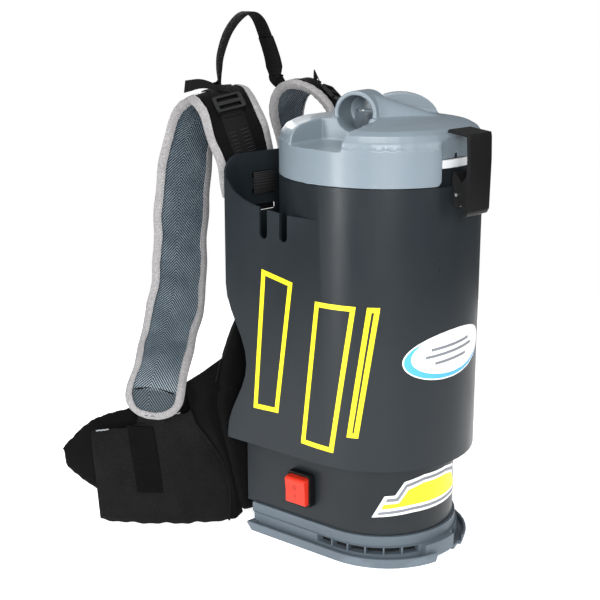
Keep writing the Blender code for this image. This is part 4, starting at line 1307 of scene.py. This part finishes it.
def sew(v):
    """Sinks a vertex of the back cushion into its sewn channels and its side crease."""
    upright, across = 0.045, (0.105, 0.235)
    if v.co.y > BACK_NEAR + 0.020:
        sink = 0.0
        for x in (-upright, upright):
            sink = max(sink, math.exp(-((v.co.x - x) / 0.006) ** 2))
        for z in across:
            if abs(v.co.x) > upright:
                sink = max(sink, math.exp(-((v.co.z - z) / 0.006) ** 2))
        v.co.y -= 0.006 * sink
    # the crease crosses the cushion's side, above the belt
    if abs(v.co.x) > back_half(v.co.z) - 0.020:
        v.co.x -= math.copysign(0.004 * math.exp(-((v.co.z - 0.205) / 0.005) ** 2), v.co.x)


def back_stitching():
    """A sewn line down both sides of the back cushion, in short raised stitches."""
    out, long = 0.0022, 0.0011
    for side, name in SIDES:
        lines = []
        for i in range(62):
            z = 0.215 + 0.0019 * i
            a = Vector((side * (back_half(z) + out), BACK_NEAR + 0.006, z))
            b = Vector((side * (back_half(z + long) + out), BACK_NEAR + 0.006, z + long))
            lines.append((a, b))
        stitches(lines, 0.0005, "back_stitching_" + name, "rung")


def yoke_cushion():
    halves = (0.120, 0.131, 0.140, 0.1425, 0.145, 0.1465, 0.147, 0.145, 0.142)
    columns = 12
    rows = []
    for i, widest in enumerate(halves):
        z = 0.3545 + 0.0810 * i / 8
        half = widest - 0.003
        row = []
        for y, order in ((BACK_Y + 0.0045, range(columns + 1)), (BACK_Y + 0.0115, range(columns, -1, -1))):
            row += [Vector((-half + 2 * half * k / columns, y, z)) for k in order]
        rows.append(row)
    yoke = add_piece("yoke_cushion", skin(rows), "pad_mesh", None)
    pillow(yoke, 0.005, 3.0, 0.004, pinned=lambda co: co.y < BACK_Y + 0.006)
    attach(yoke, "machine")
    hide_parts("yoke_pad")


# ---------------------------------------------------------------- panel webbing
def panel_webbing():
    """Webbing threaded through the slots of the back panel, seen from the front."""
    profile = ((0.1300, 0.4925), (0.1292, 0.4880), (0.1285, 0.4840), (0.1283, 0.4780),
               (0.1285, 0.4720), (0.1292, 0.4680), (0.1300, 0.4640))
    section = ((-0.019, 0.0), (-0.017, -0.0011), (0.0, -0.0014), (0.017, -0.0011), (0.019, 0.0),
               (0.017, 0.0008), (0.0, 0.0008), (-0.017, 0.0008))
    for side, name in SIDES:
        middle = side * STRAP_ROUTE[0][0]
        rows, uvs = [], []
        for i, (y, z) in enumerate(profile):
            rows.append([Vector((middle + x, y + dy, z)) for x, dy in section])
            uvs += [(x, i * 0.005) for x, dy in section]
        add_piece("panel_web_" + name, skin(rows), "web_grey", "machine", 50.0, uvs)
        rows, uvs = [], []
        for i in range(9):
            z = 0.4400 + 0.0075 * i
            y = 0.1380 + 0.0006 * math.sin(i * 1.3)
            rows.append([Vector((middle + x, y + dy, z))
                         for x, dy in ((-0.024, 0.0), (0.0, -0.0005), (0.024, 0.0), (0.0, 0.0010))])
            uvs += [(-0.024, z), (0.0, z), (0.024, z), (0.0, z)]
        add_piece("slot_backing_" + name, skin(rows), "web", "machine", 50.0, uvs)


# ---------------------------------------------------------------- studio
FLOOR_RADIUS = 1.25
LIGHTS = (("strip", (-2.10, 0.10, 0.75), (0.30, 1.7), 34.0),
          ("front", (-1.55, -1.75, 1.05), (1.0, 1.0), 52.0),
          ("right", (0.9, -2.3, 1.2), (0.8, 1.6), 24.0),
          ("back", (1.1, 2.5, 1.3), (1.4, 1.4), 40.0),
          ("top", (-0.5, -0.3, 2.6), (1.2, 1.2), 34.0))


def floor_disc():
    """A pale disc that glows a little, so that it runs into the pale background."""
    bm = bmesh.new()
    for k in range(64):
        a = math.pi * k / 32
        bm.verts.new((FLOOR_RADIUS * math.cos(a), FLOOR_RADIUS * math.sin(a), -0.0002))
    bm.faces.new(bm.verts)
    mesh = bpy.data.meshes.new("floor")
    bm.to_mesh(mesh)
    bm.free()
    floor = bpy.data.objects.new("floor", mesh)
    bpy.context.scene.collection.objects.link(floor)
    g = Graph("floor_paint")
    g.finish(g.mix(g.noise(3.0), (0.83, 0.83, 0.84), (0.85, 0.85, 0.86)), 0.7,
             Emission_Color=(1.0, 1.0, 1.0, 1.0), Emission_Strength=0.60)
    mesh.materials.append(g.mat)


def pale_world():
    """A white background, which lights the scene only weakly."""
    world = bpy.data.worlds.new("studio")
    world.use_nodes = True
    tree = world.node_tree
    rays = tree.nodes.new("ShaderNodeLightPath").outputs["Is Camera Ray"]
    level = tree.nodes.new("ShaderNodeMapRange")
    tree.links.new(rays, level.inputs["Value"])
    level.inputs["To Min"].default_value = 0.13
    level.inputs["To Max"].default_value = 1.0
    background = tree.nodes["Background"]
    background.inputs["Color"].default_value = (1.0, 1.0, 1.0, 1.0)
    tree.links.new(level.outputs[0], background.inputs["Strength"])
    bpy.context.scene.world = world


def look_at(obj, place, target):
    obj.location = place
    obj.rotation_euler = (target - obj.location).to_track_quat("-Z", "Y").to_euler()


def studio():
    scene = bpy.context.scene
    floor_disc()
    pale_world()
    for name, place, size, power in LIGHTS:
        data = bpy.data.lights.new(name, "AREA")
        data.shape = "RECTANGLE"
        data.size, data.size_y = size
        data.energy = power
        lamp = bpy.data.objects.new(name, data)
        look_at(lamp, place, Vector((0.0, 0.05, 0.30)))
        scene.collection.objects.link(lamp)
    data = bpy.data.cameras.new("camera")
    data.lens = 75.0
    data.sensor_width = 36.0
    camera = bpy.data.objects.new("camera", data)
    look_at(camera, (-1.17262701, -1.07505048, 0.75632421), Vector((-0.14780844, -0.00527712, 0.35579868)))
    scene.collection.objects.link(camera)
    scene.camera = camera
    scene.view_settings.view_transform = "Standard"


hard_parts()
side_graphics()
oval_badge()
housing_stripes()
straps()
handle()
handle_roots()
belts()
back_cushion()
back_stitching()
yoke_cushion()
panel_webbing()
studio()
